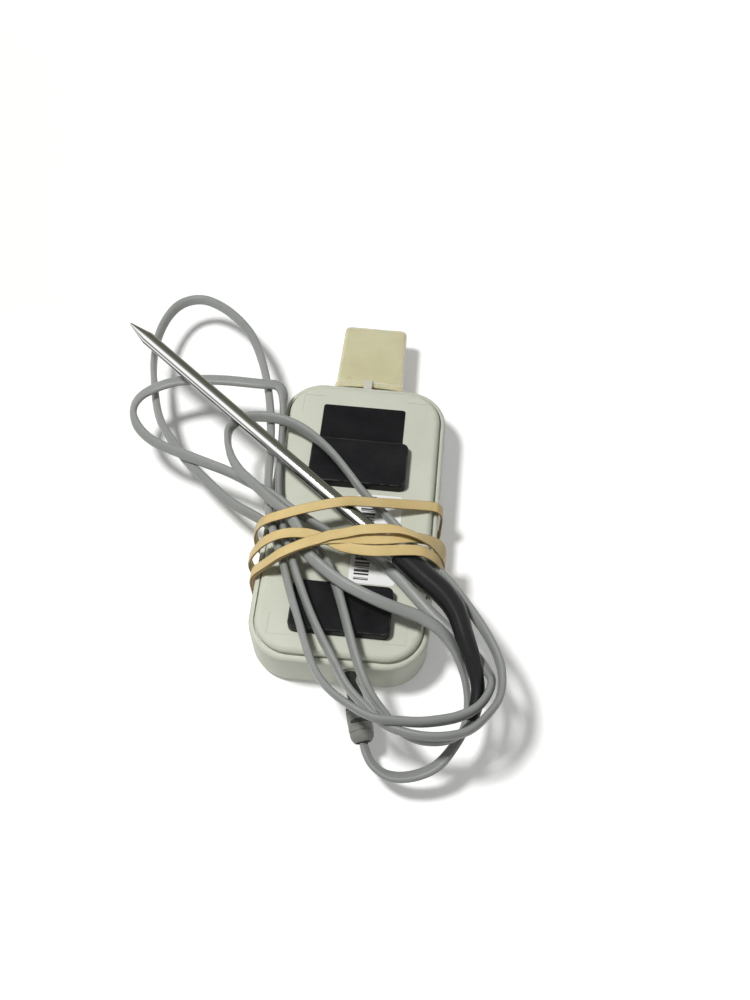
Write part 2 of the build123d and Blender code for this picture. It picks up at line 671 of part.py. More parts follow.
cord_total = 0.0
for number, (first, last) in enumerate(zip(cuts, cuts[1:])):
    start = cord_spots[0] if first == 0 else (cord_spots[first] + cord_spots[first + 1]) / 2
    end = cord_spots[-1] if last == cord_corners else (cord_spots[last] + cord_spots[last + 1]) / 2
    corners = cord_spots[first + 1:last + 1]
    with BuildPart() as cord_piece:
        with BuildLine() as path:
            FilletPolyline(start, *corners, end, radius=cord_radii[first:last])
        with BuildSketch(Plane(origin=start, z_dir=corners[0] - start)):
            Circle(cord_diameter / 2)
        sweep(path=path.line)
    piece_length = sum(edge.length for edge in path.edges())
    cord_total += piece_length
    name = "cord_lead" if number == 0 else f"cord_{number}"
    save(cord_piece, name)
    drawn = cord_piece.part.volume / (pi * (cord_diameter / 2) ** 2)
    print(f"{name}: path {piece_length:.2f}, length by volume {drawn:.2f}")
print(f"cord length {cord_total:.1f}")
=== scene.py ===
"""Looks of a water quality probe: interface box, capped connector, lead, boot and steel probe.

Sizes are in millimetres, turned into metres where a mesh is made.  The frame's +Z is up, +Y points
to the capped connector, and the box lies on its front.
"""

import logging
import math
from dataclasses import dataclass
from enum import Enum
from typing import Iterable, Sequence

import bpy
from mathutils import Matrix, Vector


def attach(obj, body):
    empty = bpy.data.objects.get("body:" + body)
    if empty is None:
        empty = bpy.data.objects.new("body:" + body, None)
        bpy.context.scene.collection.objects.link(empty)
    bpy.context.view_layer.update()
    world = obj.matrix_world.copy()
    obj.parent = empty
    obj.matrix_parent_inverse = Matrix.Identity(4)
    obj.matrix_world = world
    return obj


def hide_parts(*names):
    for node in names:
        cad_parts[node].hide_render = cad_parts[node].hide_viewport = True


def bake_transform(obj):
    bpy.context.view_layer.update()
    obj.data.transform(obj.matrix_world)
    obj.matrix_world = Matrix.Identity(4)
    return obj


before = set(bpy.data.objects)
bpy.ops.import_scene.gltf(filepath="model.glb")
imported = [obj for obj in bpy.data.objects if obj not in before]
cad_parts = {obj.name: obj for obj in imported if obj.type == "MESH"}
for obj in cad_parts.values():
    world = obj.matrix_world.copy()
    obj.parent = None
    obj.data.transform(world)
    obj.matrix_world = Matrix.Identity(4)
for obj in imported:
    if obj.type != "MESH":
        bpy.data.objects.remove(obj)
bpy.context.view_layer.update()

LOG = logging.getLogger("probe")
Colour = tuple[float, float, float]
Point = tuple[float, float, float]
Pair = tuple[float, float]
Quad = tuple[float, float, float, float]
MM = 0.001
UPWARDS = Vector((0, 0, 1))


def metres(point: Sequence[float]) -> Vector:
    """Turn a point in millimetres into a vector in metres."""
    return Vector(point) * MM


def add_object(name: str, data: bpy.types.ID) -> bpy.types.Object:
    """Put a mesh, curve, lamp or camera into the scene.

    Args:
        name: Name of the object.
        data: What it shows.

    Returns:
        The object.
    """
    thing = bpy.data.objects.new(name, data)
    bpy.context.scene.collection.objects.link(thing)
    return thing


# ---------------------------------------------------------------------------- shader graphs
class Space(Enum):
    """Which coordinates a finish follows."""

    BODY = "Object"
    ALONG = "UV"


class Graph:
    """Shader nodes of one material, or of the sky."""

    def __init__(self, owner: bpy.types.Material | bpy.types.World) -> None:
        """Start with an output node alone.

        Args:
            owner: Material or world that the nodes belong to.
        """
        owner.use_nodes = True
        self.owner = owner
        self.tree = owner.node_tree
        self.tree.nodes.clear()
        self.output = self.add("OutputWorld" if isinstance(owner, bpy.types.World) else "OutputMaterial")

    def add(self, kind: str, **settings: object) -> bpy.types.Node:
        """Add a node; settings are its attributes.

        Args:
            kind: Node type without the ShaderNode prefix.
            settings: Attributes to set on the node.

        Returns:
            The new node.
        """
        node = self.tree.nodes.new("ShaderNode" + kind)
        for key, value in settings.items():
            setattr(node, key, value)
        return node

    def join(self, source: object, target: object) -> None:
        """Link an output socket to an input socket."""
        self.tree.links.new(source, target)

    def coordinates(self, space: Space, stretch: Point = (1.0, 1.0, 1.0)) -> object:
        """Texture coordinates, scaled.

        Args:
            space: Object or UV coordinates.
            stretch: Scale along each axis.

        Returns:
            The vector socket.
        """
        source = self.add("TexCoord")
        mapping = self.add("Mapping")
        mapping.inputs["Scale"].default_value = stretch
        self.join(source.outputs[space.value], mapping.inputs["Vector"])
        return mapping.outputs["Vector"]

    def split(self, vector: object) -> bpy.types.bpy_prop_collection:
        """Outputs X, Y and Z of a vector.

        Args:
            vector: Vector socket.

        Returns:
            The three sockets by name.
        """
        parts = self.add("SeparateXYZ")
        self.join(vector, parts.inputs["Vector"])
        return parts.outputs

    def noise(self, vector: object, size: float, detail: float, roughness: float = 0.5) -> object:
        """Noise value with features of one size.

        Args:
            vector: Coordinate socket.
            size: Size of the coarsest features in millimetres.
            detail: Octaves.
            roughness: Share of the finer octaves.

        Returns:
            The value socket.
        """
        node = self.add("TexNoise")
        node.inputs["Scale"].default_value = 1 / (size * MM)
        node.inputs["Detail"].default_value = detail
        node.inputs["Roughness"].default_value = roughness
        self.join(vector, node.inputs["Vector"])
        return node.outputs["Fac"]

    def span(self, value: object, low: float, high: float, start: float = 0.0, end: float = 1.0) -> object:
        """Map a value range to another, clamped.

        Args:
            value: Value socket.
            low: Input value that gives start.
            high: Input value that gives end.
            start: Output at low.
            end: Output at high.

        Returns:
            The mapped value socket.
        """
        node = self.add("MapRange", clamp=True)
        for name, number in (("From Min", low), ("From Max", high), ("To Min", start), ("To Max", end)):
            node.inputs[name].default_value = number
        self.join(value, node.inputs["Value"])
        return node.outputs["Result"]

    def blend(self, factor: object, first: object, second: object) -> object:
        """Mix two colours by a factor; each is a colour tuple or a socket.

        Args:
            factor: Value socket, 0 for the first colour.
            first: Colour or socket.
            second: Colour or socket.

        Returns:
            The colour socket.
        """
        node = self.add("Mix", data_type="RGBA")
        self.join(factor, node.inputs["Factor"])
        for socket, colour in ((node.inputs[6], first), (node.inputs[7], second)):
            if isinstance(colour, tuple):
                socket.default_value = (*colour, 1.0)
            else:
                self.join(colour, socket)
        return node.outputs[2]

    def math(self, operation: str, first: object, second: object = 0.0) -> object:
        """One math node on two sockets or numbers.

        Args:
            operation: Blender's name of the operation.
            first: Value socket or number.
            second: Value socket or number.

        Returns:
            The value socket.
        """
        node = self.add("Math", operation=operation)
        for socket, value in zip(node.inputs, (first, second)):
            if isinstance(value, (int, float)):
                socket.default_value = value
            else:
                self.join(value, socket)
        return node.outputs["Value"]

    def bump(self, height: object, depth: float, normal: object = None) -> object:
        """Bump normal from a height.

        Args:
            height: Value socket.
            depth: Depth in millimetres of a height of one.
            normal: Normal socket of a coarser bump, if any.

        Returns:
            The normal socket.
        """
        node = self.add("Bump")
        node.inputs["Distance"].default_value = depth * MM
        self.join(height, node.inputs["Height"])
        if normal is not None:
            self.join(normal, node.inputs["Normal"])
        return node.outputs["Normal"]


@dataclass(frozen=True)
class Finish:
    """Procedural surface: a base colour with patches, a fine grain, specks and an even gloss.

    Sizes are in millimetres.  A range is the levels of a noise that its pattern fades in over, a
    smear is a place with another gloss, and its share is of the size of a patch.
    """

    PATCH_RANGE = (0.35, 0.65)
    SPECK_RANGE = (0.78, 0.86)
    GLOSS_RANGE = (0.3, 0.7)
    SMEAR_SHARE = 0.4
    FINE_SHARE = 0.6

    name: str
    colour: Colour
    patch_colour: Colour
    patch_size: float = 20.0
    roughness: Pair = (0.4, 0.55)
    grain_size: float = 0.5
    grain_depth: float = 0.01
    wave_size: float = 8.0
    wave_depth: float = 0.0
    speck_colour: Colour = (0.5, 0.5, 0.5)
    speck_size: float = 0.6
    speck_level: float = 0.0
    stretch: Point = (1.0, 1.0, 1.0)
    space: Space = Space.BODY
    constants: tuple[tuple[str, float], ...] = ()

    def shade(self, graph: Graph) -> tuple[object, object, object]:
        """Colour, roughness and normal of the surface.

        Args:
            graph: Graph to add the nodes to.

        Returns:
            Colour socket, roughness socket and normal socket.
        """
        where = graph.coordinates(self.space, self.stretch)
        patches = graph.noise(where, self.patch_size, detail=4, roughness=self.FINE_SHARE)
        colour = graph.blend(graph.span(patches, *self.PATCH_RANGE), self.colour, self.patch_colour)
        if self.speck_level > 0:
            specks = graph.noise(where, self.speck_size, detail=2)
            low, high = self.SPECK_RANGE
            shown = graph.span(specks, low - self.speck_level, high - self.speck_level)
            colour = graph.blend(shown, colour, self.speck_colour)
        smear_size = self.SMEAR_SHARE * self.patch_size
        smears = graph.noise(where, smear_size, detail=5, roughness=self.FINE_SHARE)
        gloss = graph.span(smears, *self.GLOSS_RANGE, *self.roughness)
        normal = graph.bump(graph.noise(where, self.grain_size, detail=2), self.grain_depth)
        if self.wave_depth > 0:
            normal = graph.bump(graph.noise(where, self.wave_size, detail=1), self.wave_depth, normal)
        return self.pattern(graph, colour), gloss, normal

    def pattern(self, graph: Graph, colour: object) -> object:
        """Colour with the finish's own pattern over it, which a plain finish hasn't got."""
        return colour

    def build(self) -> bpy.types.Material:
        """Make the material.

        Returns:
            The material, with its nodes.
        """
        graph = Graph(bpy.data.materials.new(self.name))
        shader = graph.add("BsdfPrincipled")
        colour, gloss, normal = self.shade(graph)
        graph.join(colour, shader.inputs["Base Color"])
        graph.join(gloss, shader.inputs["Roughness"])
        graph.join(normal, shader.inputs["Normal"])
        for name, value in self.constants:
            shader.inputs[name].default_value = value
        graph.join(shader.outputs["BSDF"], graph.output.inputs["Surface"])
        return graph.owner


@dataclass(frozen=True)
class PrintedPaper(Finish):
    """White coated paper with a column of plain bars near its left edge."""

    bar_left: float = 3.3
    bar_right: float = 9.0
    bar_low: float = -29.5
    bar_high: float = 7.5
    bar_sizes: Pair = (1.04, 0.48)
    stroke_range: Pair = (0.98, 1.0)
    ink: Colour = (0.025, 0.025, 0.03)

    def pattern(self, graph: Graph, colour: object) -> object:
        """Bars drawn over the paper, from two noises that change along it only.

        Args:
            graph: Graph to add the nodes to.
            colour: Colour socket of the bare paper.

        Returns:
            The colour socket.
        """
        parts = graph.split(graph.add("TexCoord").outputs["Object"])
        across, along = parts["X"], parts["Y"]
        inside = graph.math("GREATER_THAN", across, self.bar_left * MM)
        for comparison, value, limit in (("LESS_THAN", across, self.bar_right),
                                         ("GREATER_THAN", along, self.bar_low),
                                         ("LESS_THAN", along, self.bar_high)):
            inside = graph.math("MULTIPLY", inside, graph.math(comparison, value, limit * MM))
        rows = graph.add("CombineXYZ")
        graph.join(along, rows.inputs["Y"])
        widths, fine = (graph.noise(rows.outputs["Vector"], size, detail=0) for size in self.bar_sizes)
        strokes = graph.span(graph.math("ADD", widths, fine), *self.stroke_range)
        return graph.blend(graph.math("MULTIPLY", inside, strokes), colour, self.ink)


@dataclass(frozen=True)
class BrightSteel(Finish):
    """Polished tube with painted reflections: dark and light streaks that run along it at fixed places
    round its girth.
    """

    girth: float = 17.593
    wander: float = 0.012
    wander_length: float = 45.0
    # Painted reflections: each stop is a place round the girth and the tone of the mirrored surroundings
    # painted there.
    reflection_streaks: tuple[tuple[float, Colour], ...] = (
        (0.00, (0.30, 0.30, 0.30)), (0.17, (0.16, 0.16, 0.16)), (0.200, (0.22, 0.22, 0.22)),
        (0.232, (0.44, 0.44, 0.43)), (0.256, (0.04, 0.04, 0.04)), (0.296, (0.05, 0.05, 0.05)),
        (0.308, (0.78, 0.78, 0.77)), (0.338, (0.82, 0.82, 0.81)), (0.350, (0.12, 0.12, 0.11)),
        (0.368, (0.20, 0.20, 0.19)), (0.384, (0.80, 0.80, 0.79)), (0.398, (0.97, 0.97, 0.97)),
        (0.434, (0.97, 0.97, 0.96)), (0.456, (0.34, 0.34, 0.32)), (0.478, (0.125, 0.125, 0.105)),
        (0.540, (0.085, 0.085, 0.065)), (0.600, (0.10, 0.10, 0.08)), (0.630, (0.20, 0.20, 0.17)),
        (0.66, (0.30, 0.30, 0.29)), (0.72, (0.24, 0.24, 0.24)), (1.00, (0.30, 0.30, 0.30)))

    def pattern(self, graph: Graph, colour: object) -> object:
        """Painted reflection streaks by their place round the tube, in place of the even colour.

        Args:
            graph: Graph to add the nodes to.
            colour: Colour socket, which isn't used.

        Returns:
            The colour socket.
        """
        parts = graph.split(graph.coordinates(Space.ALONG))
        round_it = graph.math("DIVIDE", parts["X"], self.girth * MM)
        slow = graph.noise(graph.coordinates(Space.ALONG, (0.0, 1.0, 1.0)), self.wander_length, detail=1)
        drift = graph.math("MULTIPLY", graph.math("SUBTRACT", slow, 0.5), self.wander)
        ramp = graph.add("ValToRGB")
        stops = ramp.color_ramp.elements
        ends = (self.reflection_streaks[0], self.reflection_streaks[-1])
        for stop, (place, shade) in zip(stops, ends):
            stop.position = place
            stop.color = (*shade, 1.0)
        for place, shade in self.reflection_streaks[1:-1]:
            stops.new(place).color = (*shade, 1.0)
        graph.join(graph.math("ADD", round_it, drift), ramp.inputs["Fac"])
        return ramp.outputs["Color"]


@dataclass(frozen=True)
class EdgeShadedRubber(Finish):
    """Rubber strip with painted shade: dark stripes, which repeat round its section and fall on its narrow
    side faces.
    """

    repeat: float = 4.3
    face: float = 3.1
    blur: float = 0.24
    # Painted shade: the darker brown of the band's narrow side faces.
    edge_shade_colour: Colour = (0.24, 0.155, 0.06)

    def pattern(self, graph: Graph, colour: object) -> object:
        """Rubber with a stripe of painted shade between each two stretches of plain face.

        Args:
            graph: Graph to add the nodes to.
            colour: Colour socket of its faces.

        Returns:
            The colour socket.
        """
        parts = graph.split(graph.coordinates(Space.ALONG))
        place = graph.math("MODULO", parts["X"], self.repeat * MM)
        away = graph.math("ABSOLUTE", graph.math("SUBTRACT", place, self.repeat / 2 * MM))
        # Painted shade falls on the narrow side faces round the section.
        edge = graph.span(away, (self.face - self.blur) / 2 * MM, (self.face + self.blur) / 2 * MM)
        return graph.blend(edge, colour, self.edge_shade_colour)


@dataclass(frozen=True)
class EdgeLitPad(Finish):
    """Black rubber with a painted highlight of lighter grey along its rounded upper edges, broken up by
    noise.
    """

    # Painted highlight: the lighter grey laid along the rounded upper edges.
    edge_highlight_colour: Colour = (0.085, 0.085, 0.08)
    slope: float = 0.74
    reach: float = 0.2
    breakup_size: float = 3.0
    breakup_range: Pair = (0.38, 0.62)

    def pattern(self, graph: Graph, colour: object) -> object:
        """Rubber with a painted highlight where its upper edges turn down.

        Args:
            graph: Graph to add the nodes to.
            colour: Colour socket of the rubber without the highlight.

        Returns:
            The colour socket.
        """
        facing = graph.split(graph.add("NewGeometry").outputs["Normal"])["Z"]
        away = graph.math("ABSOLUTE", graph.math("SUBTRACT", facing, self.slope))
        edge = graph.span(away, 0.0, self.reach, 1.0, 0.0)
        breakup = graph.noise(graph.coordinates(Space.BODY), self.breakup_size, detail=3)
        broken_highlight = graph.span(breakup, *self.breakup_range)
        return graph.blend(graph.math("MULTIPLY", edge, broken_highlight), colour, self.edge_highlight_colour)


BOX_PLASTIC = Finish("box_plastic", (0.59, 0.605, 0.51), (0.55, 0.565, 0.47), 26.0, (0.42, 0.55), 0.45,
                     0.010, speck_colour=(0.42, 0.41, 0.36), speck_size=0.7, speck_level=0.04)
BLACK_PAD = EdgeLitPad("black_pad", (0.006, 0.006, 0.007), (0.012, 0.012, 0.013), 9.0, (0.30, 0.50), 0.5,
                    0.010, speck_colour=(0.13, 0.13, 0.13), speck_size=0.35, speck_level=0.05,
                    constants=(("Specular IOR Level", 0.10),))
BLACK_PLATE = Finish("black_plate", (0.005, 0.005, 0.006), (0.010, 0.010, 0.011), 12.0, (0.25, 0.45), 0.4,
                     0.006, speck_colour=(0.12, 0.12, 0.13), speck_size=0.3, speck_level=0.05,
                     constants=(("Specular IOR Level", 0.08),))
DARK_PANEL = Finish("dark_panel", (0.045, 0.05, 0.055), (0.055, 0.06, 0.066), 18.0, (0.25, 0.4), 0.3, 0.004)
PAPER = PrintedPaper("white_paper", (0.86, 0.87, 0.86), (0.82, 0.83, 0.82), 7.0, (0.35, 0.5), 0.3, 0.004)
BOARD = Finish("board_green", (0.015, 0.10, 0.035), (0.02, 0.14, 0.05), 3.0, (0.25, 0.4), 0.6, 0.01)
CHIP = Finish("chip_black", (0.02, 0.02, 0.02), (0.03, 0.03, 0.03), 3.0, (0.5, 0.65), 0.2, 0.01)
CONNECTOR = Finish("connector_black", (0.015, 0.015, 0.016), (0.025, 0.025, 0.026), 6.0, (0.4, 0.6), 0.3,
                   0.01)
LATCH = Finish("latch_white", (0.60, 0.59, 0.52), (0.53, 0.52, 0.44), 3.0, (0.4, 0.55), 0.3, 0.008)
# Partly the socket's own grey, partly painted shade: darker to stand for the shade in its recess round the
# neck.
SOCKET = Finish("socket_grey", (0.30, 0.30, 0.26), (0.23, 0.23, 0.20), 4.0, (0.4, 0.55), 0.3, 0.008)
CAP = Finish("cap_cream", (0.60, 0.55, 0.32), (0.66, 0.62, 0.385), 14.0, (0.25, 0.42), 0.8, 0.012,
             wave_size=6.0, wave_depth=0.10,
             constants=(("Subsurface Weight", 0.35), ("Subsurface Scale", 0.004),
                        ("Transmission Weight", 0.18)))
STEEL = BrightSteel("probe_steel", (0.62, 0.61, 0.60), (0.50, 0.49, 0.48), 3.0, (0.08, 0.16), 0.3, 0.003,
                    stretch=(1.0, 0.05, 1.0), space=Space.ALONG, constants=(("Metallic", 1.0),))
CAN_STEEL = Finish("can_steel", (0.55, 0.55, 0.54), (0.45, 0.45, 0.44), 2.0, (0.2, 0.35), 0.3, 0.006,
                   constants=(("Metallic", 1.0),))
BEAD = Finish("bead_brown", (0.12, 0.05, 0.03), (0.18, 0.08, 0.04), 2.0, (0.2, 0.4), 0.5, 0.01)
SLEEVE = Finish("sleeve_black", (0.006, 0.006, 0.007), (0.011, 0.011, 0.012), 9.0, (0.26, 0.38), 0.6, 0.010,
                stretch=(1.0, 0.35, 1.0), space=Space.ALONG,
                speck_colour=(0.09, 0.09, 0.09), speck_size=0.5, speck_level=0.02,
                constants=(("Specular IOR Level", 0.22),))
NECK = Finish("neck_black", (0.050, 0.050, 0.046), (0.070, 0.070, 0.064), 4.0, (0.35, 0.5), 0.4, 0.01,
              constants=(("Specular IOR Level", 0.2),))
PLUG = Finish("plug_grey", (0.175, 0.180, 0.157), (0.210, 0.215, 0.190), 5.0, (0.38, 0.5), 0.4, 0.012)
CORD = Finish("cord_grey", (0.225, 0.235, 0.22), (0.27, 0.28, 0.265), 14.0, (0.24, 0.36), 0.5, 0.010,
              stretch=(1.0, 0.3, 1.0), space=Space.ALONG, wave_size=5.0, wave_depth=0.03)
BAND = EdgeShadedRubber("band_tan", (0.575, 0.435, 0.185), (0.64, 0.495, 0.235), 7.0, (0.45, 0.6), 0.4, 0.015,
                 stretch=(1.0, 0.4, 1.0), space=Space.ALONG,
                 speck_colour=(0.42, 0.28, 0.12), speck_size=0.5, speck_level=0.05,
                 constants=(("Subsurface Weight", 0.15), ("Subsurface Scale", 0.001)))


class Finishes:
    """Materials by name, each made once."""

    def __init__(self) -> None:
        """Start with no material made."""
        self.made: dict[str, bpy.types.Material] = {}

    def dress(self, piece: bpy.types.Object, finish: Finish) -> None:
        """Give a piece the material of its finish, which is made at its first use.

        Args:
            piece: Mesh or CAD node.
            finish: The finish to use.
        """
        if finish.name not in self.made:
            self.made[finish.name] = finish.build()
        piece.data.materials.clear()
        piece.data.materials.append(self.made[finish.name])

    def dress_nodes(self, dressings: Iterable[tuple[str, Finish]]) -> None:
        """Give CAD nodes, which are named, their finishes."""
        for name, finish in dressings:
            self.dress(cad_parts[name], finish)


FINISHES = Finishes()


# ----------------------------------------------------------------------------- mesh helpers
def arc_lengths(line: Sequence[Vector]) -> list[float]:
    """How far each point of a line is from its start, measured along it.

    Args:
        line: Points of the line in metres.

    Returns:
        Distances in millimetres.
    """
    reach = [0.0]
    for before, after in zip(line, line[1:]):
        reach.append(reach[-1] + (after - before).length / MM)
    return reach


def spread(points: Sequence[Vector], spacing: float) -> list[Vector]:
    """Points at an even spacing along a polyline.

    Args:
        points: The polyline's points, close together.
        spacing: Distance between the new points in millimetres.

    Returns:
        The new points, with both ends kept.
    """
    lengths = arc_lengths(points)
    count = max(2, round(lengths[-1] / spacing))
    result, at = [], 0
    for step in range(count + 1):
        target = lengths[-1] * step / count
        while at < len(points) - 2 and lengths[at + 1] < target:
            at += 1
        share = (target - lengths[at]) / (lengths[at + 1] - lengths[at])
        result.append(points[at].lerp(points[at + 1], min(share, 1.0)))
    return result


def nearest(line: Sequence[Vector], spot: Vector, first: int, count: int) -> int:
    """Number of the point of a line that lies closest to a spot.

    Args:
        line: Points of the line.
        spot: The spot.
        first: First point to look at.
        count: How many points to look at.

    Returns:
        The number of the point.
    """
    return min(range(first, min(first + count, len(line))), key=lambda i: (line[i] - spot).length)


def through(points: Sequence[Vector], steps: int, closed: bool = False) -> list[Vector]:
    """Smooth line through points, as Catmull-Rom spans.

    Args:
        points: Points that the line passes.
        steps: Steps in each span.
        closed: Whether the line returns to its first point.

    Returns:
        Points of the smooth line; a closed line's first point isn't repeated.
    """
    count = len(points)
    spans = count if closed else count - 1
    line: list[Vector] = []
    for i in range(spans):
        first, second = points[i], points[(i + 1) % count]
        before = points[i - 1] if closed or i > 0 else first * 2 - second
        after = points[(i + 2) % count] if closed or i + 2 < count else second * 2 - first
        for step in range(steps):
            t = step / steps
            line.append(0.5 * (2 * first + (second - before) * t
                               + (2 * before - 5 * first + 4 * second - after) * t * t
                               + (3 * first - before - 3 * second + after) * t ** 3))
    if not closed:
        line.append(points[-1].copy())
    return line


def squared(direction: Vector, ahead: Vector) -> Vector:
    """The part of a direction that is square to a unit vector, made a unit vector itself."""
    return (direction - ahead * ahead.dot(direction)).normalized()


def heading(line: Sequence[Vector], i: int) -> Vector:
    """Direction of an open line at one of its points."""
    return (line[min(i + 1, len(line) - 1)] - line[max(i - 1, 0)]).normalized()


def carried_frames(line: Sequence[Vector], start: Vector) -> list[tuple[Vector, Vector]]:
    """Two directions across a line at each of its points, turned as little as possible.

    Args:
        line: Points of the line.
        start: Direction that the first one is close to.

    Returns:
        A pair of unit vectors for each point.
    """
    frames = []
    across = start
    for i in range(len(line)):
        ahead = heading(line, i)
        across = squared(across, ahead)
        frames.append((across, ahead.cross(across)))
    return frames


def rolled(aside: Vector, face: Vector, degrees: float) -> tuple[Vector, Vector]:
    """Two square directions turned in their plane.

    Args:
        aside: First direction.
        face: Second direction.
        degrees: Turn from the first towards the second.

    Returns:
        Both directions after the turn.
    """
    ahead, sideways = math.cos(math.radians(degrees)), math.sin(math.radians(degrees))
    return aside * ahead + face * sideways, face * ahead - aside * sideways


def circle(sides: int) -> list[Pair]:
    """Points round a circle with a radius of one."""
    angles = [2 * math.pi * k / sides for k in range(sides)]
    return [(math.cos(angle), math.sin(angle)) for angle in angles]


def rounded_rectangle(half: Pair, corner: float, turns: int, parts: int) -> list[Pair]:
    """Outline of a rounded rectangle, anticlockwise from the end of its right side.

    Args:
        half: Half of its width and half of its height.
        corner: Radius of its corners.
        turns: Edges in each corner.
        parts: Edges along its upper and lower side.

    Returns:
        Points as distances from its centre.
    """
    flat, tall = half[0] - corner, half[1] - corner
    outline = []
    for quarter, (x, y) in enumerate(((1, 1), (-1, 1), (-1, -1), (1, -1))):
        for step in range(turns + 1):
            angle = math.pi / 2 * (quarter + step / turns)
            outline.append((x * flat + corner * math.cos(angle), y * tall + corner * math.sin(angle)))
        if quarter in (0, 2):
            outline += [(x * flat * (1 - 2 * part / parts), y * half[1]) for part in range(1, parts)]
    return outline


def placed(outline: Iterable[Pair], centre: Vector, axes: tuple[Vector, Vector],
           scale: float = 1.0) -> list[Vector]:
    """A flat outline put into space as a ring.

    Args:
        outline: Its points in millimetres.
        centre: Where its centre lies, in metres.
        axes: Directions of its two coordinates.
        scale: Factor on its size.

    Returns:
        Points of the ring.
    """
    return [centre + (axes[0] * u + axes[1] * v) * scale * MM for u, v in outline]


def skin(name: str, rings: Sequence[Sequence[Vector]], loop: bool = False,
         sharp: float = 180.0) -> bpy.types.Object:
    """Mesh over a row of rings, with UV u around and v along, in metres.

    Args:
        name: Name of the piece.
        rings: Rings of equally many points.
        loop: Whether the last ring joins the first; an open row is closed by a face at either end.
        sharp: Edges that turn more than this, in degrees, look sharp.

    Returns:
        The mesh object.
    """
    sides = len(rings[0])
    girth = sum((rings[0][k] - rings[0][k - 1]).length for k in range(sides))
    reach = [length * MM for length in arc_lengths([ring[0] for ring in rings])]
    reach.append(reach[-1] + (rings[0][0] - rings[-1][0]).length)
    faces, corners = [], []
    for row in range(len(rings) if loop else len(rings) - 1):
        here, there = row * sides, (row + 1) % len(rings) * sides
        for k in range(sides):
            beside = (k + 1) % sides
            faces.append((here + k, here + beside, there + beside, there + k))
            left, right = girth * k / sides, girth * (k + 1) / sides
            corners += [(left, reach[row]), (right, reach[row])]
            corners += [(right, reach[row + 1]), (left, reach[row + 1])]
    if not loop:
        last = (len(rings) - 1) * sides
        faces.append(tuple(reversed(range(sides))))
        faces.append(tuple(range(last, last + sides)))
        corners += [(0.0, 0.0)] * (2 * sides)
    mesh = bpy.data.meshes.new(name)
    mesh.from_pydata([point for ring in rings for point in ring], [], faces)
    layer = mesh.uv_layers.new(name="along")
    layer.data.foreach_set("uv", [number for corner in corners for number in corner])
    mesh.shade_smooth()
    mesh.validate()
    mesh.set_sharp_from_angle(angle=math.radians(sharp))
    return add_object(name, mesh)


def tube(name: str, line: Sequence[Vector], radii: Sequence[float], sides: int,
         start: Vector = UPWARDS, sharp: float = 180.0) -> bpy.types.Object:
    """Round tube along a line.

    Args:
        name: Name of the piece.
        line: Centre line in metres.
        radii: Radius in millimetres at each point.
        sides: Sides of the round.
        start: Direction of the seam at the first point.
        sharp: Edges that turn more than this, in degrees, look sharp.

    Returns:
        The mesh object.
    """
    outline = circle(sides)
    spots = zip(line, carried_frames(line, start), radii)
    return skin(name, [placed(outline, *spot) for spot in spots], sharp=sharp)


def turned(name: str, origin: Vector, axis: Vector, profile: Sequence[Pair], sides: int,
           sharp: float = 180.0) -> bpy.types.Object:
    """Turned piece: a profile of (distance along the axis, radius), in millimetres.

    Args:
        name: Name of the piece.
        origin: Start of the axis in metres.
        axis: Unit vector along the axis.
        profile: Distances and radii.
        sides: Sides of the round.
        sharp: Edges that turn more than this, in degrees, look sharp.

    Returns:
        The mesh object.
    """
    axes = carried_frames([origin, origin + axis], UPWARDS)[0]
    outline = circle(sides)
    rings = [placed(outline, origin + axis * distance * MM, axes, radius) for distance, radius in profile]
    return skin(name, rings, sharp=sharp)


def settle(piece: bpy.types.Object, body: str, finish: Finish,
           replaced: Iterable[str] = ()) -> None:
    """Finish a piece: its material, body and the CAD nodes that it stands for.

    Args:
        piece: The piece.
        body: CAD body that it rides on.
        finish: Its finish.
        replaced: CAD nodes that it replaces.
    """
    FINISHES.dress(piece, finish)
    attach(piece, body)
    if replaced:
        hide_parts(*replaced)
    LOG.info("%s rides on %s", piece.name, body)


def soft_share(at: float, low: float, high: float) -> float:
    """How far a place lies between two others, from 0 to 1 with a soft start and end."""
    share = min(max((at - low) / (high - low), 0.0), 1.0)
    return share * share * (3 - 2 * share)


def interpolated(table: Sequence[Pair], at: float) -> float:
    """Value of a table of (place, value) pairs at a place, with soft steps between its entries.

    Args:
        table: Pairs in rising order of place.
        at: The place.

    Returns:
        The value there.
    """
    for (low, first), (high, second) in zip(table, table[1:]):
        if at <= high:
            return first + (second - first) * soft_share(at, low, high)
    return table[-1][1]


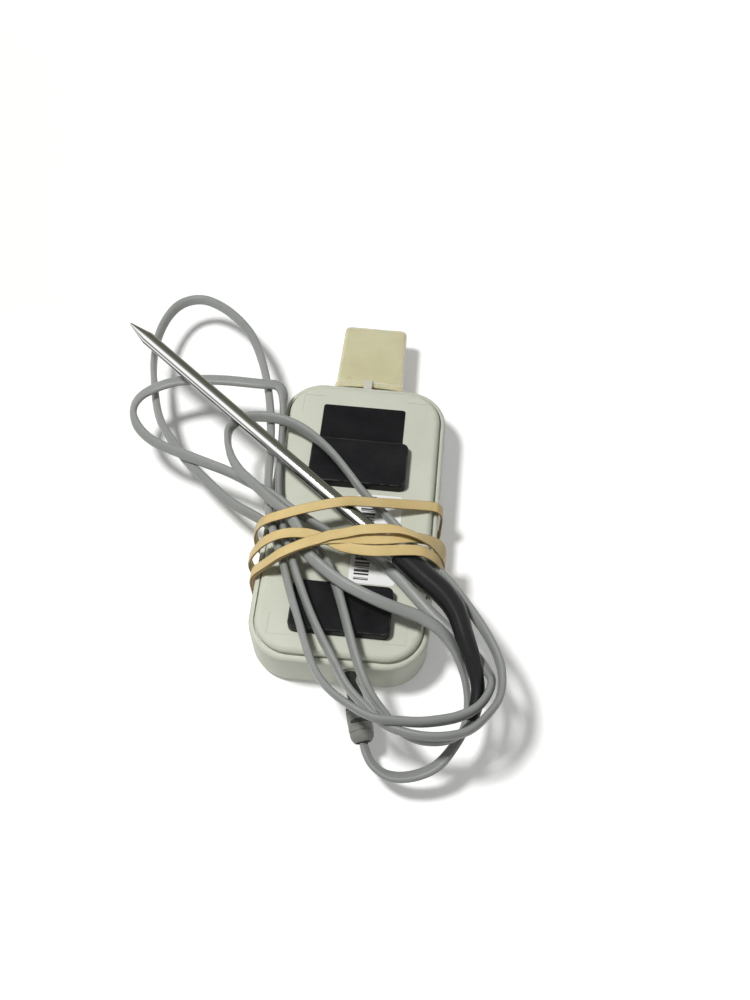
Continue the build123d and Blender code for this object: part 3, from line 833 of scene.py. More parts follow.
# ------------------------------------------------------------------------- stage and camera
@dataclass
class Studio:
    """Pale floor, soft light and the camera."""

    eye: Point = (23.4, -193.3, 367.0)
    right: Point = (0.9951, 0.0979, 0.0131)
    up: Point = (-0.0911, 0.8586, 0.5044)
    lens: float = 36.0
    sensor: float = 36.0
    clip: float = 0.01
    floor_size: float = 6.0
    floor_colour: Colour = (0.95, 0.95, 0.935)
    near: float = 0.15
    near_glow: float = 0.10
    far: float = 0.55
    far_glow: float = 0.80
    sky_light: float = 0.13
    lamps: tuple[tuple[str, Point, float, float], ...] = (
        ("key", (-0.182, -0.035, 0.52), 0.085, 2.0),
        ("sheen", (-0.182, -0.035, 0.52), 0.10, 0.6),
        ("fill", (0.9, -0.9, 1.3), 1.1, 1.3),
    )

    def place_camera(self) -> None:
        """Camera above the near end, looking down at the box."""
        data = bpy.data.cameras.new("camera")
        data.lens = self.lens
        data.sensor_width = self.sensor
        data.clip_start = self.clip
        camera = add_object("camera", data)
        right, up = Vector(self.right).normalized(), Vector(self.up).normalized()
        back = right.cross(up).normalized()
        turn = Matrix((right, back.cross(right), back)).transposed().to_4x4()
        camera.matrix_world = Matrix.Translation(metres(self.eye)) @ turn
        bpy.context.scene.camera = camera

    def lay_floor(self) -> None:
        """Large pale floor that glows where it is seen directly, less so near the key lamp's foot."""
        half = self.floor_size / 2
        corners = [(-half, -half, 0), (half, -half, 0), (half, half, 0), (-half, half, 0)]
        mesh = bpy.data.meshes.new("floor")
        mesh.from_pydata(corners, [], [(0, 1, 2, 3)])
        graph = Graph(bpy.data.materials.new("floor"))
        diffuse = graph.add("BsdfDiffuse")
        diffuse.inputs["Color"].default_value = (*self.floor_colour, 1.0)
        away = graph.add("VectorMath", operation="DISTANCE")
        graph.join(graph.add("NewGeometry").outputs["Position"], away.inputs[0])
        away.inputs[1].default_value = (*self.lamps[0][1][:2], 0.0)
        strength = graph.span(away.outputs["Value"], self.near, self.far, self.near_glow, self.far_glow)
        glow = graph.add("Emission")
        graph.join(graph.math("MULTIPLY", self.seen_directly(graph), strength), glow.inputs["Strength"])
        total = graph.add("AddShader")
        graph.join(diffuse.outputs["BSDF"], total.inputs[0])
        graph.join(glow.outputs["Emission"], total.inputs[1])
        graph.join(total.outputs["Shader"], graph.output.inputs["Surface"])
        mesh.materials.append(graph.owner)
        floor = add_object("floor", mesh)

    @staticmethod
    def seen_directly(graph: Graph) -> object:
        """Tell rays from the camera, a mirror surface or clear plastic from the rest.

        Args:
            graph: Graph to add the nodes to.

        Returns:
            The socket, one for those rays and zero for the rest.
        """
        rays = graph.add("LightPath").outputs
        seen = graph.math("MAXIMUM", rays["Is Camera Ray"], rays["Is Glossy Ray"])
        return graph.math("MAXIMUM", seen, rays["Is Transmission Ray"])

    def light(self) -> None:
        """White sky with soft lamps above."""
        world = bpy.data.worlds.new("sky")
        bpy.context.scene.world = world
        graph = Graph(world)
        sky = graph.add("Background")
        sky.inputs["Color"].default_value = (1.0, 1.0, 1.0, 1.0)
        strength = graph.span(self.seen_directly(graph), 0.0, 1.0, self.sky_light, 1.0)
        graph.join(strength, sky.inputs["Strength"])
        graph.join(sky.outputs["Background"], graph.output.inputs["Surface"])
        for name, place, size, power in self.lamps:
            data = bpy.data.lights.new(name, "AREA")
            data.shape = "DISK"
            data.size = size
            data.energy = power
            lamp = add_object(name, data)
            lamp.location = place
            lamp.rotation_euler = (-Vector(place)).to_track_quat("-Z", "Y").to_euler()
            lamp.visible_camera = False
            lamp.visible_glossy = name != "key"
        bpy.context.scene.view_settings.view_transform = "Standard"

    def build(self) -> None:
        """Set up everything that isn't part of the object."""
        self.place_camera()
        self.lay_floor()
        self.light()


# ------------------------------------------------------------------------- lead and its plug
LEAD_ROUTE: tuple[Point, ...] = (
    (13.5, -87.5, 12), (15, -92.5, 11.5), (20, -97.5, 12), (26, -99.5, 13.5), (33.5, -98.5, 15.5),
    (40.5, -95, 17.5), (45, -89, 19.5), (49, -82, 21), (49.5, -74.5, 22.5), (48.5, -67, 25),
    (44.9, -58.2, 29.4), (38.7, -50.9, 33.4), (30, -46.5, 35), (20.5, -44.5, 36), (11, -41.5, 36.5),
    (0, -36.5, 36), (-8, -31, 36), (-15.5, -25, 36), (-18, -17, 36.5), (-23, -10.5, 37),
    (-31, -5, 37), (-38.5, 1.5, 37), (-45.5, 7.5, 36), (-50, 14.5, 35), (-52.5, 21.5, 34),
    (-53.5, 29.5, 32.5), (-49, 34, 32.5), (-45, 36, 32), (-39, 36.5, 32), (-31, 35.5, 32),
    (-22, 31.5, 32), (-11.5, 23, 32), (-3, 13, 32.5), (4.5, 4.5, 30.5), (14.5, -2.5, 27),
    (23, -12, 27), (32, -21, 27), (39.5, -27.5, 27.5), (48, -39.5, 29.5), (55, -50, 31),
    (59.5, -59, 31), (60.6, -67, 31.5), (59.5, -74, 32.5), (55.5, -80.5, 34), (50, -86.5, 34),
    (43, -89, 34), (35.5, -90, 34), (27.5, -89, 33), (20.5, -86.5, 31.5), (12.5, -80, 31),
    (5.5, -73.5, 31), (1, -66, 31.5), (-5, -57, 32), (-11, -46.5, 32), (-16.5, -35, 33),
    (-21, -24.5, 33.5), (-25, -14.5, 33.5), (-29, -0.5, 28), (-31, 12, 27), (-32, 26, 27),
    (-33.5, 42.5, 27.5), (-35, 54.5, 30), (-44, 53.2, 31), (-53, 53.5, 31), (-61.5, 53.5, 31),
    (-70.5, 53, 30.5), (-80.5, 52, 29.5), (-89, 48, 28.5), (-94.5, 43, 28), (-95.5, 35.5, 28),
    (-91, 27.5, 28), (-83, 21.5, 28), (-73, 18, 28.5), (-61.5, 14, 29), (-49.5, 10, 29.5),
    (-39.5, 4, 31.5), (-30.5, -1, 34.5), (-23, -6.5, 34), (-16, -10, 33.5), (-6.5, -14.5, 32),
    (2.5, -18, 28), (12, -20.8, 27), (19.9, -27.3, 27), (26.5, -34.1, 27), (33.7, -41.3, 27),
    (41.1, -47.8, 27.3), (48.4, -54, 27.5), (54.5, -61.2, 28.8), (57.3, -68.5, 33.8), (53, -78, 36),
    (46, -82.5, 36), (39.5, -84.5, 36), (32, -86, 36), (24.5, -86, 36), (16.5, -86, 35.5),
    (9, -82.5, 35), (1, -77.5, 33.5), (-5.5, -70.5, 32), (-10, -61, 32), (-14.5, -50, 31.5),
    (-19, -39.5, 31.5), (-23, -28.5, 31), (-29, -15, 32), (-33, -3, 29), (-35, 12.5, 28),
    (-36.5, 29, 27.5), (-39.5, 46.5, 26.5), (-44.5, 64.5, 25), (-52, 82.5, 23.5), (-60, 93, 22),
    (-69.5, 101, 21.5), (-80, 105.5, 21), (-89.5, 101.5, 21), (-94, 91.5, 21), (-95.5, 79.5, 21),
    (-94, 65.5, 21.5), (-90.5, 52, 22), (-85.5, 37, 22.5), (-78.5, 27.5, 23), (-70, 17.5, 23.5),
    (-60, 8, 25), (-48.5, -2, 26.5), (-37, -7.5, 27), (-25.5, -13.5, 27), (-16, -16.5, 27),
    (-9, -21.5, 28), (-3, -33.5, 32), (1.5, -45, 32), (6.5, -59, 31.5), (10.5, -68.5, 30.5),
    (15, -76, 29), (20.5, -81.5, 27.5), (25.5, -86.5, 27), (32.5, -89.5, 26.5), (41.5, -89, 26.5),
    (47.8, -85.5, 27), (50.4, -80.9, 27.5),
)
LEAD_ROLL: tuple[tuple[int, float], ...] = (
    (0, 53), (1, 75), (2, 77), (3, 62), (5, 55), (7, 75), (8, 90), (9, 100), (10, 120), (11, 146),
    (12, 178), (13, 182), (22, 224), (23, 240), (24, 270), (26, 324), (28, 328), (32, 291),
    (33, 291), (35, 304), (38, 313), (40, 296), (41, 281), (42, 268), (43, 244), (45, 233),
    (52, 240), (60, 270), (61, 325), (63, 330), (66, 327), (67, 325), (68, 313), (69, 297),
    (70, 322), (73, 326), (77, 300), (80, 300), (82, 356), (85, 364), (88, 423), (89, 413),
    (90, 398), (91, 396), (95, 429), (98, 429), (104, 417), (107, 417), (108, 407), (112, 404),
    (113, 423), (115, 450), (116, 484), (117, 488), (119, 504), (120, 506), (123, 498), (128, 482),
    (136, 480))


@dataclass
class Lead:
    """The loose lead from the plug to the probe's sleeve: a flattened tube that twists as it goes."""

    half_width: float = 2.3
    half_height: float = 1.35
    diameter: float = 3.8
    declared_length: float = 1405.0
    squareness: float = 2.4
    flex_start: float = 4.0
    flex_end: float = 75.0
    curve_steps: int = 12
    spacing: float = 1.2
    sides: int = 24
    look_ahead: int = 90
    start_taper: tuple[Pair, ...] = ((0.0, 0.80), (5.0, 1.0))
    end_taper: tuple[Pair, ...] = ((0.0, 0.72), (9.0, 1.0))
    flat_side: Point = (0.038, -0.503, 0.863)

    def centre_line(self) -> list[Vector]:
        """Smooth centre line of the lead, from a spline on the route's points.

        Returns:
            Points close together, in metres.
        """
        curve = bpy.data.curves.new("lead_line", "CURVE")
        curve.dimensions = "3D"
        curve.resolution_u = self.curve_steps
        spline = curve.splines.new("NURBS")
        spline.points.add(len(LEAD_ROUTE) - 1)
        for point, place in zip(spline.points, LEAD_ROUTE):
            point.co = (*metres(place), 1.0)
        spline.order_u = 3
        spline.use_endpoint_u = True
        holder = add_object("lead_line", curve)
        bpy.context.view_layer.update()
        mesh = bpy.data.meshes.new_from_object(holder.evaluated_get(bpy.context.evaluated_depsgraph_get()))
        line = [vertex.co.copy() for vertex in mesh.vertices]
        bpy.data.objects.remove(holder)
        return line

    def roll_by_length(self, line: Sequence[Vector], reach: Sequence[float]) -> list[Pair]:
        """Roll table by distance along the lead in place of the route's point numbers.

        Args:
            line: Points of the lead.
            reach: Distance of each from the start.

        Returns:
            Pairs of distance and roll in degrees.
        """
        table, at = [], 0
        for number, angle in LEAD_ROLL:
            at = nearest(line, metres(LEAD_ROUTE[number]), at, self.look_ahead)
            if table and reach[at] <= table[-1][0]:
                at = min(at + 1, len(line) - 1)
            table.append((reach[at], angle))
        return table

    def cross_section(self) -> list[Pair]:
        """Flattened round across the lead, in millimetres."""
        power = 2 / self.squareness
        return [(math.copysign(abs(u) ** power, u) * self.half_width,
                 math.copysign(abs(v) ** power, v) * self.half_height) for u, v in circle(self.sides)]

    def sections(self, line: Sequence[Vector], reach: Sequence[float]) -> list[list[Vector]]:
        """Flattened rings along the lead.

        Args:
            line: Points of the lead.
            reach: Distance of each from the start.

        Returns:
            One ring for each point.
        """
        table = self.roll_by_length(line, reach)
        outline = self.cross_section()
        rings = []
        for i, centre in enumerate(line):
            ahead = heading(line, i)
            face = squared(Vector(self.flat_side), ahead)
            axes = rolled(ahead.cross(face), face, interpolated(table, reach[i]))
            taper = interpolated(self.start_taper, reach[i])
            taper *= interpolated(self.end_taper, reach[-1] - reach[i])
            rings.append(placed(outline, centre, axes, taper))
        return rings

    def build(self, pieces: Sequence[bpy.types.Object]) -> None:
        """Make the lead and hide the CAD cords that it stands for; weights along its first stretch are
        worked out but not used.

        Args:
            pieces: The plug's pieces; not used.
        """
        line = spread(self.centre_line(), self.spacing)
        reach = arc_lengths(line)
        lead = skin("lead", self.sections(line, reach))
        FINISHES.dress(lead, CORD)
        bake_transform(lead)
        weights = []
        for distance in reach:
            weights += [soft_share(distance, self.flex_start, self.flex_end)] * self.sides
        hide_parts("cord_lead", *[f"cord_{k}" for k in range(1, 10)])
        LOG.info("lead laid, %.0f mm", reach[-1])


@dataclass
class Plug:
    """The grey plug on the lead's near end, with its bent neck and pin."""

    length: float = 14.0
    hood: tuple[Pair, ...] = (
        (0.0, 2.6), (0.0, 3.1), (0.15, 3.45), (0.8, 4.1), (1.3, 4.3), (2.6, 4.42), (3.1, 4.4), (3.2, 4.2),
        (3.45, 4.2), (3.55, 4.42), (5.5, 4.45), (8.0, 4.45), (8.1, 4.33), (8.35, 4.33), (8.45, 4.5),
        (9.2, 4.55), (9.9, 4.48), (10.05, 4.2), (10.35, 4.2), (10.45, 4.42), (11.3, 4.4), (12.2, 4.2),
        (13.0, 3.82), (13.6, 3.42), (13.9, 3.15), (14.0, 2.95), (13.9, 2.75), (13.2, 2.65), (12.4, 2.6))
    # The window and the rear slot are openings in the hood; their dark is painted shade, laid on as thin
    # black pieces.
    window: Pair = (5.85, 7.4)
    window_reach: Pair = (-66.0, 52.0)
    rear_slot: Pair = (1.0, 2.1)
    rear_slot_reach: Pair = (30.0, 78.0)
    shade_inlay_parts: tuple[int, int] = (28, 5)
    shade_inlay_proud: float = 0.035
    shade_inlay_depth: float = 0.3
    shade_inlay_tip: float = 0.02
    neck_points: tuple[Point, ...] = ((6.3, -61.6, 15.7), (6.3, -64.0, 15.7), (6.3, -66.8, 15.68))
    neck_straight: float = 3.2
    neck_overlap: float = 0.3
    neck_spacing: float = 0.4
    neck_radii: tuple[float, ...] = (2.15, 2.2, 3.0, 2.9)
    neck_narrow_margin: float = 1.0
    neck_edge: float = 1.2
    grommet: tuple[Pair, ...] = ((12.4, 2.55), (13.1, 2.62), (13.35, 2.5), (13.4, 2.2), (13.3, 1.9))

    def placement(self) -> tuple[Vector, Vector]:
        """Where the plug lies.

        Returns:
            Rear centre of the hood and the direction to its nose.
        """
        nose = metres(LEAD_ROUTE[0])
        axis = (metres(LEAD_ROUTE[1]) - nose).normalized()
        return nose - axis * self.length * MM, axis

    def make_hood(self) -> bpy.types.Object:
        """Turned hood with its collar and hollow nose.

        Returns:
            The piece.
        """
        hood = turned("plug_hood", *self.placement(), self.hood, sides=72, sharp=50)
        settle(hood, "plug", PLUG, ["plug_body"])
        return hood

    def shade_inlay_points(self, stretch: Pair, reach: Pair) -> tuple[list[Vector], list[Vector]]:
        """Points of the outer and inner face of a thin piece of painted shade, row after row round the
        hood.

        Args:
            stretch: Where it starts and ends along the hood.
            reach: Angles round the hood where it starts and ends.

        Returns:
            The outer points and the inner points.
        """
        rear, axis = self.placement()
        axes = carried_frames([rear, rear + axis], UPWARDS)[0]
        columns, rows = self.shade_inlay_parts
        outer, inner = [], []
        for column in range(columns + 1):
            share = column / columns
            out, _ = rolled(*axes, reach[0] + (reach[1] - reach[0]) * share)
            slim = math.sqrt(max(1 - (2 * share - 1) ** 4, 0.0)) / 2 + self.shade_inlay_tip
            for row in range(rows + 1):
                distance = sum(stretch) / 2 + (stretch[1] - stretch[0]) * slim * (2 * row / rows - 1)
                radius = interpolated(self.hood[2:], distance)
                centre = rear + axis * distance * MM
                outer.append(centre + out * (radius + self.shade_inlay_proud) * MM)
                inner.append(centre + out * (radius - self.shade_inlay_depth) * MM)
        return outer, inner

    def shade_inlay(self, name: str, stretch: Pair, reach: Pair) -> bpy.types.Object:
        """Thin black piece of painted shade that follows the hood's surface, narrowing to its two ends; it
        stands for the shade inside an opening of the hood.

        Args:
            name: Name of the piece.
            stretch: Where it starts and ends along the hood.
            reach: Angles round the hood where it starts and ends.

        Returns:
            The piece.
        """
        outer, inner = self.shade_inlay_points(stretch, reach)
        columns, rows = self.shade_inlay_parts
        under, side = len(outer), rows + 1
        faces = []
        for column in range(columns):
            first = column * side
            for a in range(first, first + rows):
                faces.append((a, a + side, a + side + 1, a + 1))
                faces.append((under + a, under + a + 1, under + a + side + 1, under + a + side))
            faces.append((first, under + first, under + first + side, first + side))
            last = first + rows
            faces.append((last + side, under + last + side, under + last, last))
        for a in range(rows):
            faces.append((a, a + 1, under + a + 1, under + a))
            b = columns * side + a
            faces.append((under + b, under + b + 1, b + 1, b))
        mesh = bpy.data.meshes.new(name)
        mesh.from_pydata(outer + inner, [], faces)
        mesh.shade_smooth()
        mesh.set_sharp_from_angle(angle=math.radians(40))
        piece = add_object(name, mesh)
        settle(piece, "plug", NECK)
        return piece

    def make_neck(self) -> bpy.types.Object:
        """Bent neck that widens from the socket to the hood.

        Returns:
            The piece.
        """
        rear, axis = self.placement()
        anchors = [metres(place) for place in self.neck_points]
        straight = (anchors[-1] - anchors[0]).length / MM
        anchors += [rear - axis * self.neck_straight * MM, rear + axis * self.neck_overlap * MM]
        line = spread(through(anchors, steps=10), self.neck_spacing)
        reach = arc_lengths(line)
        stations = (0.0, straight - self.neck_narrow_margin, reach[-1] - self.neck_edge, reach[-1])
        widths = list(zip(stations, self.neck_radii))
        neck = tube("plug_neck_sleeve", line, [interpolated(widths, r) for r in reach], sides=40)
        settle(neck, "plug", NECK, ["plug_neck"])
        return neck

    def make_grommet(self) -> bpy.types.Object:
        """Black ring in the hollow nose, round the lead.

        Returns:
            The piece.
        """
        grommet = turned("plug_grommet", *self.placement(), self.grommet, sides=48)
        settle(grommet, "plug", NECK)
        return grommet

    def build(self) -> list[bpy.types.Object]:
        """Make the plug's pieces.

        Returns:
            The pieces, which lie on the lead's near end.
        """
        FINISHES.dress_nodes([("plug_pin", CAN_STEEL)])
        # The window and slot pieces are painted shade of the hood's openings.
        pieces = [self.make_hood(), self.make_neck(), self.make_grommet(),
                  self.shade_inlay("plug_window_shade", self.window, self.window_reach),
                  self.shade_inlay("plug_slot_shade", self.rear_slot, self.rear_slot_reach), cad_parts["plug_pin"]]
        LOG.info("plug made")
        return pieces


# -------------------------------------------------------------------------- probe and sleeve
@dataclass
class Probe:
    """Steel probe with its pointed tip, and the black sleeve that joins it to the lead."""

    tube_radius: float = 2.8
    root: Point = (13.9, -16.4, 33.2)
    tip: Point = (-101.2, 70.7, 41.7)
    insertion: float = 9.0
    tube_steps: int = 60
    cone: tuple[Pair, ...] = (
        (11.6, 2.8), (11.1, 2.79), (10.7, 2.72), (10.3, 2.62), (8.0, 2.1), (5.5, 1.56), (3.0, 1.02),
        (1.0, 0.6), (0.45, 0.48), (0.15, 0.3), (0.02, 0.06))
    sleeve_route: tuple[Quad, ...] = (
        (50.4, -80.9, 27.5, 2.45), (51.8, -75.3, 28.8, 2.5), (52.2, -71.1, 29.8, 2.5),
        (51.6, -67.1, 30.8, 2.6), (50.2, -62.6, 32.0, 2.9), (48.3, -57.3, 33.4, 3.2),
        (45.7, -51.3, 34.4, 3.5), (43.9, -46.2, 34.8, 3.7), (41.2, -41.0, 34.9, 4.1),
        (36.7, -35.7, 34.9, 4.5), (32.2, -32.0, 34.7, 4.6), (28.4, -28.7, 34.3, 4.7),
        (24.1, -24.9, 33.8, 4.7), (20.2, -21.5, 33.3, 4.7))
    sleeve_spacing: float = 0.8
    end_rounding: float = 0.5

    def make_tube(self) -> None:
        """Thin steel tube drawn to a point."""
        root, tip = metres(self.root), metres(self.tip)
        axis = (tip - root).normalized()
        start = root - axis * self.insertion * MM
        total = (tip - start).length / MM
        straight = total - self.cone[0][0]
        line = [start + axis * straight * k / self.tube_steps * MM for k in range(self.tube_steps + 1)]
        line += [tip - axis * from_tip * MM for from_tip, _ in self.cone[1:]]
        radii = [self.tube_radius] * (self.tube_steps + 1) + [radius for _, radius in self.cone[1:]]
        steel = tube("probe_steel_tube", line, radii, sides=64, start=-UPWARDS, sharp=30)
        settle(steel, "box", STEEL, ["probe_tube"])

    def sleeve_radii(self, line: Sequence[Vector]) -> list[float]:
        """Radius of the sleeve at each point of its line, with both of its ends rounded.

        Args:
            line: Points of the sleeve's centre line.

        Returns:
            Radii in millimetres.
        """
        reach = arc_lengths(line)
        stations, at = [], 0
        for *place, radius in self.sleeve_route:
            at = nearest(line, metres(place), at, len(line))
            stations.append((reach[at], radius))
        radii = []
        for distance in reach:
            radius = interpolated(stations, distance)
            share = 1 - min(distance, reach[-1] - distance) / self.end_rounding
            if share > 0:
                radius -= self.end_rounding * (1 - math.sqrt(1 - share * share))
            radii.append(radius)
        return radii

    def make_sleeve(self) -> None:
        """Black sleeve that narrows towards the lead."""
        places = [metres(place) for *place, _ in self.sleeve_route]
        line = spread(through(places, steps=16), self.sleeve_spacing)
        sleeve = tube("probe_sleeve_tube", line, self.sleeve_radii(line), sides=56, sharp=50)
        settle(sleeve, "box", SLEEVE, ["probe_sleeve"])

    def build(self) -> None:
        """Make the probe and its sleeve, and dress the bead inside."""
        self.make_tube()
        self.make_sleeve()
        FINISHES.dress_nodes([("sensor_bead", BEAD)])
        LOG.info("probe and sleeve made")


# ------------------------------------------------------------------------------ rubber bands
@dataclass
class RubberBands:
    """Flat rubber bands round the box and the bundle; each station is x, y, z and a lean in degrees."""

    width: float = 4.1
    thickness: float = 0.95
    corner: float = 0.3
    span_steps: int = 14
    under_x: float = 33.6
    under_z: float = 0.6
    under_lift: float = 0.5
    under_shares: tuple[float, ...] = (0.02, 0.1, 0.3, 0.5, 0.7, 0.9, 0.98)
    front: tuple[Quad, ...] = (
        (-35.2, -11.0, 3.2, 0), (-37.4, -10.6, 10.0, 0), (-37.5, -10.4, 18.0, 0), (-36.0, -10.9, 25.0, 0),
        (-33.6, -11.9, 31.0, 0), (-30.9, -12.4, 35.0, 0), (-26.1, -11.9, 38.0, 0), (-18.8, -9.7, 39.6, 0),
        (-11.5, -7.2, 39.9, 0), (-4.9, -5.0, 39.6, 0), (0.2, -3.1, 38.2, 0), (10.7, -0.4, 34.2, 0),
        (18.4, 1.7, 31.0, 0), (30.1, 4.5, 26.6, 0), (33.4, 4.6, 25.2, 0), (35.2, 4.6, 21.0, 0),
        (35.4, 4.6, 12.0, 0), (35.0, 4.6, 3.2, 0))
    lower: tuple[Quad, ...] = (
        (-35.2, -22.6, 3.2, 0), (-37.4, -22.5, 12.0, 0), (-37.8, -22.4, 18.0, 0), (-36.5, -22.8, 24.0, 0),
        (-34.2, -22.3, 29.0, 0), (-31.2, -21.2, 33.0, 0), (-27.2, -20.3, 36.5, 0), (-22.7, -19.6, 38.5, 0),
        (-17.4, -19.3, 39.3, 0), (-13.3, -19.5, 39.3, 0), (-8.3, -20.7, 39.3, 0), (-2.0, -23.1, 39.4, 8),
        (1.8, -23.8, 39.5, 14), (5.5, -24.1, 39.6, 20), (11.1, -24.2, 40.0, 22), (16.5, -23.6, 40.2, 22),
        (22.0, -22.9, 40.3, 16), (27.6, -22.1, 39.2, 8), (31.4, -22.0, 36.5, 0), (34.3, -22.2, 33.0, 0),
        (36.3, -21.9, 27.0, 0), (37.2, -21.6, 21.0, 0), (36.6, -21.0, 12.0, 0), (35.0, -20.6, 3.2, 0))
    upper: tuple[Quad, ...] = (
        (-35.2, -30.4, 3.2, 0), (-35.9, -30.2, 12.0, 0), (-35.8, -30.1, 20.0, 0), (-34.2, -29.8, 25.0, 0),
        (-31.4, -29.4, 29.0, 0), (-28.1, -28.8, 33.0, 0), (-24.7, -27.7, 36.5, 0), (-20.9, -26.5, 39.0, 0),
        (-17.3, -25.3, 40.6, 0), (-13.8, -23.8, 41.2, 0), (-10.2, -22.3, 41.3, 0), (-6.0, -20.3, 41.4, 0),
        (-0.6, -18.7, 41.4, 0), (4.8, -17.0, 41.6, 0), (10.2, -16.1, 41.8, 0), (15.8, -15.6, 41.9, -8),
        (19.5, -15.7, 41.8, -24), (23.3, -16.3, 41.3, -32), (27.2, -16.9, 39.8, -32),
        (30.8, -17.3, 37.2, -24), (33.6, -17.9, 34.0, -14), (36.0, -18.5, 30.0, -6),
        (37.4, -18.6, 24.0, 0), (36.8, -17.6, 12.0, 0), (35.0, -17.2, 3.2, 0))
    middle: tuple[Quad, ...] = (
        (-34.6, -30.2, 3.2, 0), (-34.9, -30.1, 12.0, 0), (-34.8, -30.0, 20.0, 0), (-33.3, -29.7, 24.4, 0),
        (-30.6, -29.2, 28.2, 0), (-27.4, -28.6, 32.0, 0), (-24.1, -27.5, 35.4, 0), (-20.5, -26.3, 37.9, 0),
        (-17.1, -25.1, 39.5, 0), (-13.7, -23.7, 40.2, 0), (-10.2, -22.4, 40.3, 0), (-6.0, -21.2, 40.2, 0),
        (-0.6, -20.4, 40.0, 0), (5.0, -20.0, 39.8, 0), (12.4, -19.3, 39.7, 0), (19.7, -17.9, 39.4, 0),
        (25.3, -16.4, 38.2, 0), (29.9, -15.2, 35.3, 0), (33.2, -14.4, 32.0, 0), (36.0, -14.4, 28.5, 0),
        (37.5, -14.8, 24.0, 0), (37.4, -14.6, 19.0, 0), (36.8, -14.0, 12.0, 0), (35.0, -13.6, 3.2, 0))

    def band(self, name: str, stations: Sequence[Quad], replaced: Sequence[str]) -> None:
        """One closed band through its stations.

        Args:
            name: Name of the piece.
            stations: Stations of the whole loop, in order.
            replaced: CAD nodes that it stands for.
        """
        line = through([metres(place) for *place, _ in stations], self.span_steps, closed=True)
        outline = rounded_rectangle((self.width / 2, self.thickness / 2), self.corner, turns=3, parts=4)
        rings = []
        for i, centre in enumerate(line):
            number, step = divmod(i, self.span_steps)
            first, second = stations[number][3], stations[(number + 1) % len(stations)][3]
            ahead = (line[(i + 1) % len(line)] - line[i - 1]).normalized()
            side = squared(Vector((0, 1, 0)), ahead)
            axes = rolled(side, side.cross(ahead), -(first + (second - first) * step / self.span_steps))
            rings.append(placed(outline, centre, axes))
        settle(skin(name, rings, loop=True, sharp=60), "box", BAND, replaced)

    def below(self, start: Quad, end: Quad) -> tuple[Quad, ...]:
        """Stations that take a band from its right side under the box to its left side.

        Args:
            start: Last station on the right side.
            end: First station on the left side.

        Returns:
            The stations under the box.
        """
        rows = []
        for share in self.under_shares:
            y = start[1] + (end[1] - start[1]) * share
            lift = self.under_lift if share in (self.under_shares[0], self.under_shares[-1]) else 0.0
            rows.append((self.under_x * (1 - 2 * share), y, self.under_z + lift, 0.0))
        return tuple(rows)

    def build(self) -> None:
        """Make the front band, the doubled rear band and its middle turn."""
        self.band("front_band", self.front + self.below(self.front[-1], self.front[0]), ["band_front"])
        doubled = (self.lower + self.below(self.lower[-1], self.upper[0])
                   + self.upper + self.below(self.upper[-1], self.lower[0]))
        self.band("rear_band", doubled, ["band_rear"])
        self.band("middle_turn", self.middle + self.below(self.middle[-1], self.middle[0]), ["band_turn"])
        LOG.info("bands made")


# ------------------------------------------------------------------------- box and connector
@dataclass
class InterfaceBox:
    """The interface box on its front, with its lid, pads, plate, sticker and inside parts."""

    dressings: tuple[tuple[str, Finish], ...] = (
        ("lower_shell", BOX_PLASTIC), ("back_lid", BOX_PLASTIC), ("label_plate", BLACK_PLATE),
        ("upper_pad", BLACK_PAD), ("lower_pad", BLACK_PAD), ("sticker", PAPER), ("front_panel", DARK_PANEL),
        ("case_screw_1", CAN_STEEL), ("case_screw_2", CAN_STEEL), ("case_screw_3", CAN_STEEL),
        ("case_screw_4", CAN_STEEL), ("circuit_board", BOARD), ("processor_chip", CHIP),
        ("amplifier_chip", CHIP), ("crystal", CAN_STEEL), ("jack_socket", SOCKET))

    def build(self) -> None:
        """Dress the box's parts."""
        FINISHES.dress_nodes(self.dressings)
        LOG.info("box dressed, %d parts", len(self.dressings))


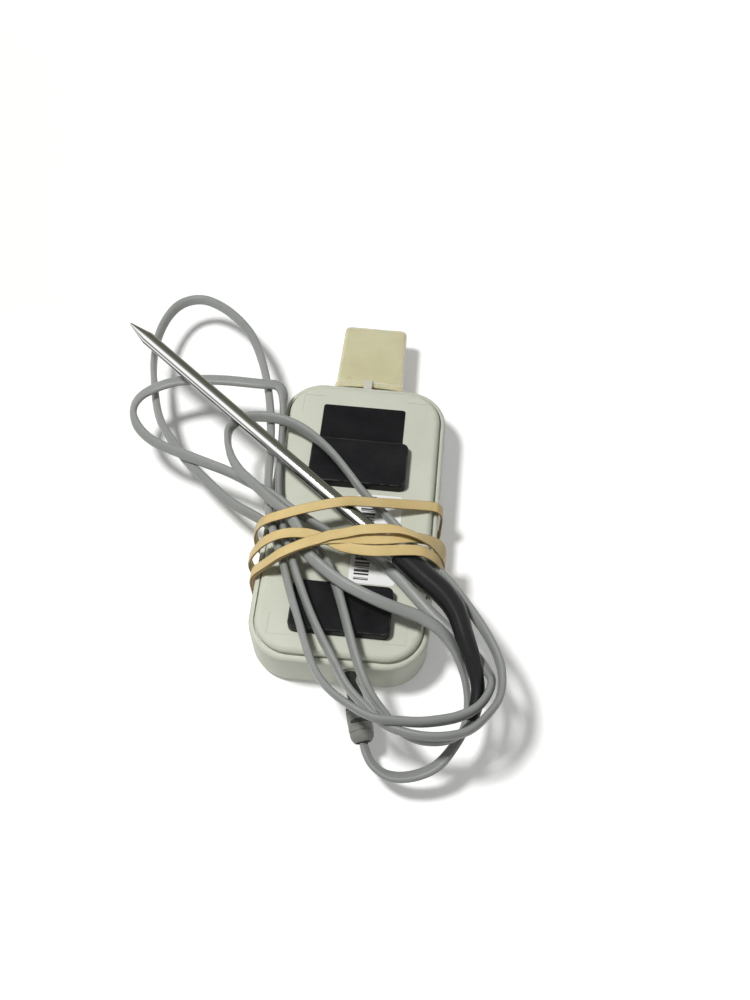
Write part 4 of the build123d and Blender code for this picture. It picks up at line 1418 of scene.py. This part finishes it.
@dataclass
class CappedConnector:
    """The flat connector at the box's far end under its cream dust cap."""

    centre_z: float = 12.7
    mouth: float = 64.7
    end: float = 99.9
    mouth_half: Pair = (14.55, 5.5)
    end_half: Pair = (13.75, 5.4)
    wall: float = 1.15
    inner_places: tuple[float, ...] = (98.6, 91.9, 84.0, 78.0, 72.0, 68.5)
    outer_places: tuple[float, ...] = (75.0, 80.0, 85.0, 90.0)
    lip_proud: float = 0.45
    lip_profile: tuple[Point, ...] = (
        (0.25, 1.0, 0.3), (0.0, 0.6, 0.6), (0.0, 0.0, 0.75), (0.2, 0.0, 1.0), (0.8, 0.0, 1.0),
        (2.3, 0.0, 1.0), (2.75, 0.0, 0.8), (3.0, 0.0, 0.3), (3.25, 0.0, 0.0), (4.5, 0.0, 0.0))
    bow: float = 0.9
    bow_reach: float = 12.0
    section_corner: float = 1.6
    end_corner: float = 3.4
    end_inset: float = 0.9
    end_power: float = 1.3
    end_steps: int = 10
    dressings: tuple[tuple[str, Finish], ...] = (
        ("connector_shell", CONNECTOR), ("connector_insert", CONNECTOR), ("latch_rib", LATCH))

    def ring(self, y: float, inset: float, proud: float = 0.0) -> list[Vector]:
        """One ring of the cap, bowed near its mouth.

        Args:
            y: Distance from the box's centre.
            inset: How far it lies inside the outer face.
            proud: How far the lip stands out there.

        Returns:
            Points of the ring.
        """
        share = min(max((y - self.mouth) / (self.end - self.mouth), 0.0), 1.0)
        half_w, half_h = (start + (stop - start) * share - inset + proud
                          for start, stop in zip(self.mouth_half, self.end_half))
        fade = max(0.0, 1 - (y - self.mouth) / self.bow_reach)
        points = []
        for x, z in rounded_rectangle((half_w, half_h), self.section_corner, turns=6, parts=16):
            lift = self.bow * fade * (1 - (x / half_w) ** 2) * max(z, 0.0) / half_h
            points.append(metres((x, y + lift, self.centre_z + z)))
        return points

    def make_cap(self) -> None:
        """Dust cap: thin walls, a lip round its mouth and a rounded closed end."""
        rings = [self.ring(y, self.wall) for y in self.inner_places]
        for away, inset, proud in self.lip_profile:
            rings.append(self.ring(self.mouth + away, self.wall * inset, self.lip_proud * proud))
        rings += [self.ring(y, 0.0) for y in self.outer_places]
        for step in range(self.end_steps + 1):
            angle = math.pi / 2 * step / self.end_steps
            inset = self.end_corner * self.end_inset * (1 - math.cos(angle)) ** self.end_power
            rings.append(self.ring(self.end - self.end_corner * (1 - math.sin(angle)), inset))
        settle(skin("dust_cap_shell", rings, sharp=55), "cap", CAP, ["dust_cap"])

    def build(self) -> None:
        """Make the cap and dress the connector and its latch."""
        FINISHES.dress_nodes(self.dressings)
        self.make_cap()
        LOG.info("connector and cap made")


def main() -> None:
    """Build the stage and every sub-assembly in order."""
    logging.basicConfig(level=logging.INFO, format="%(message)s")
    Studio().build()
    InterfaceBox().build()
    CappedConnector().build()
    pieces = Plug().build()
    Lead().build(pieces)
    Probe().build()
    RubberBands().build()


if __name__ == "__main__":
    main()
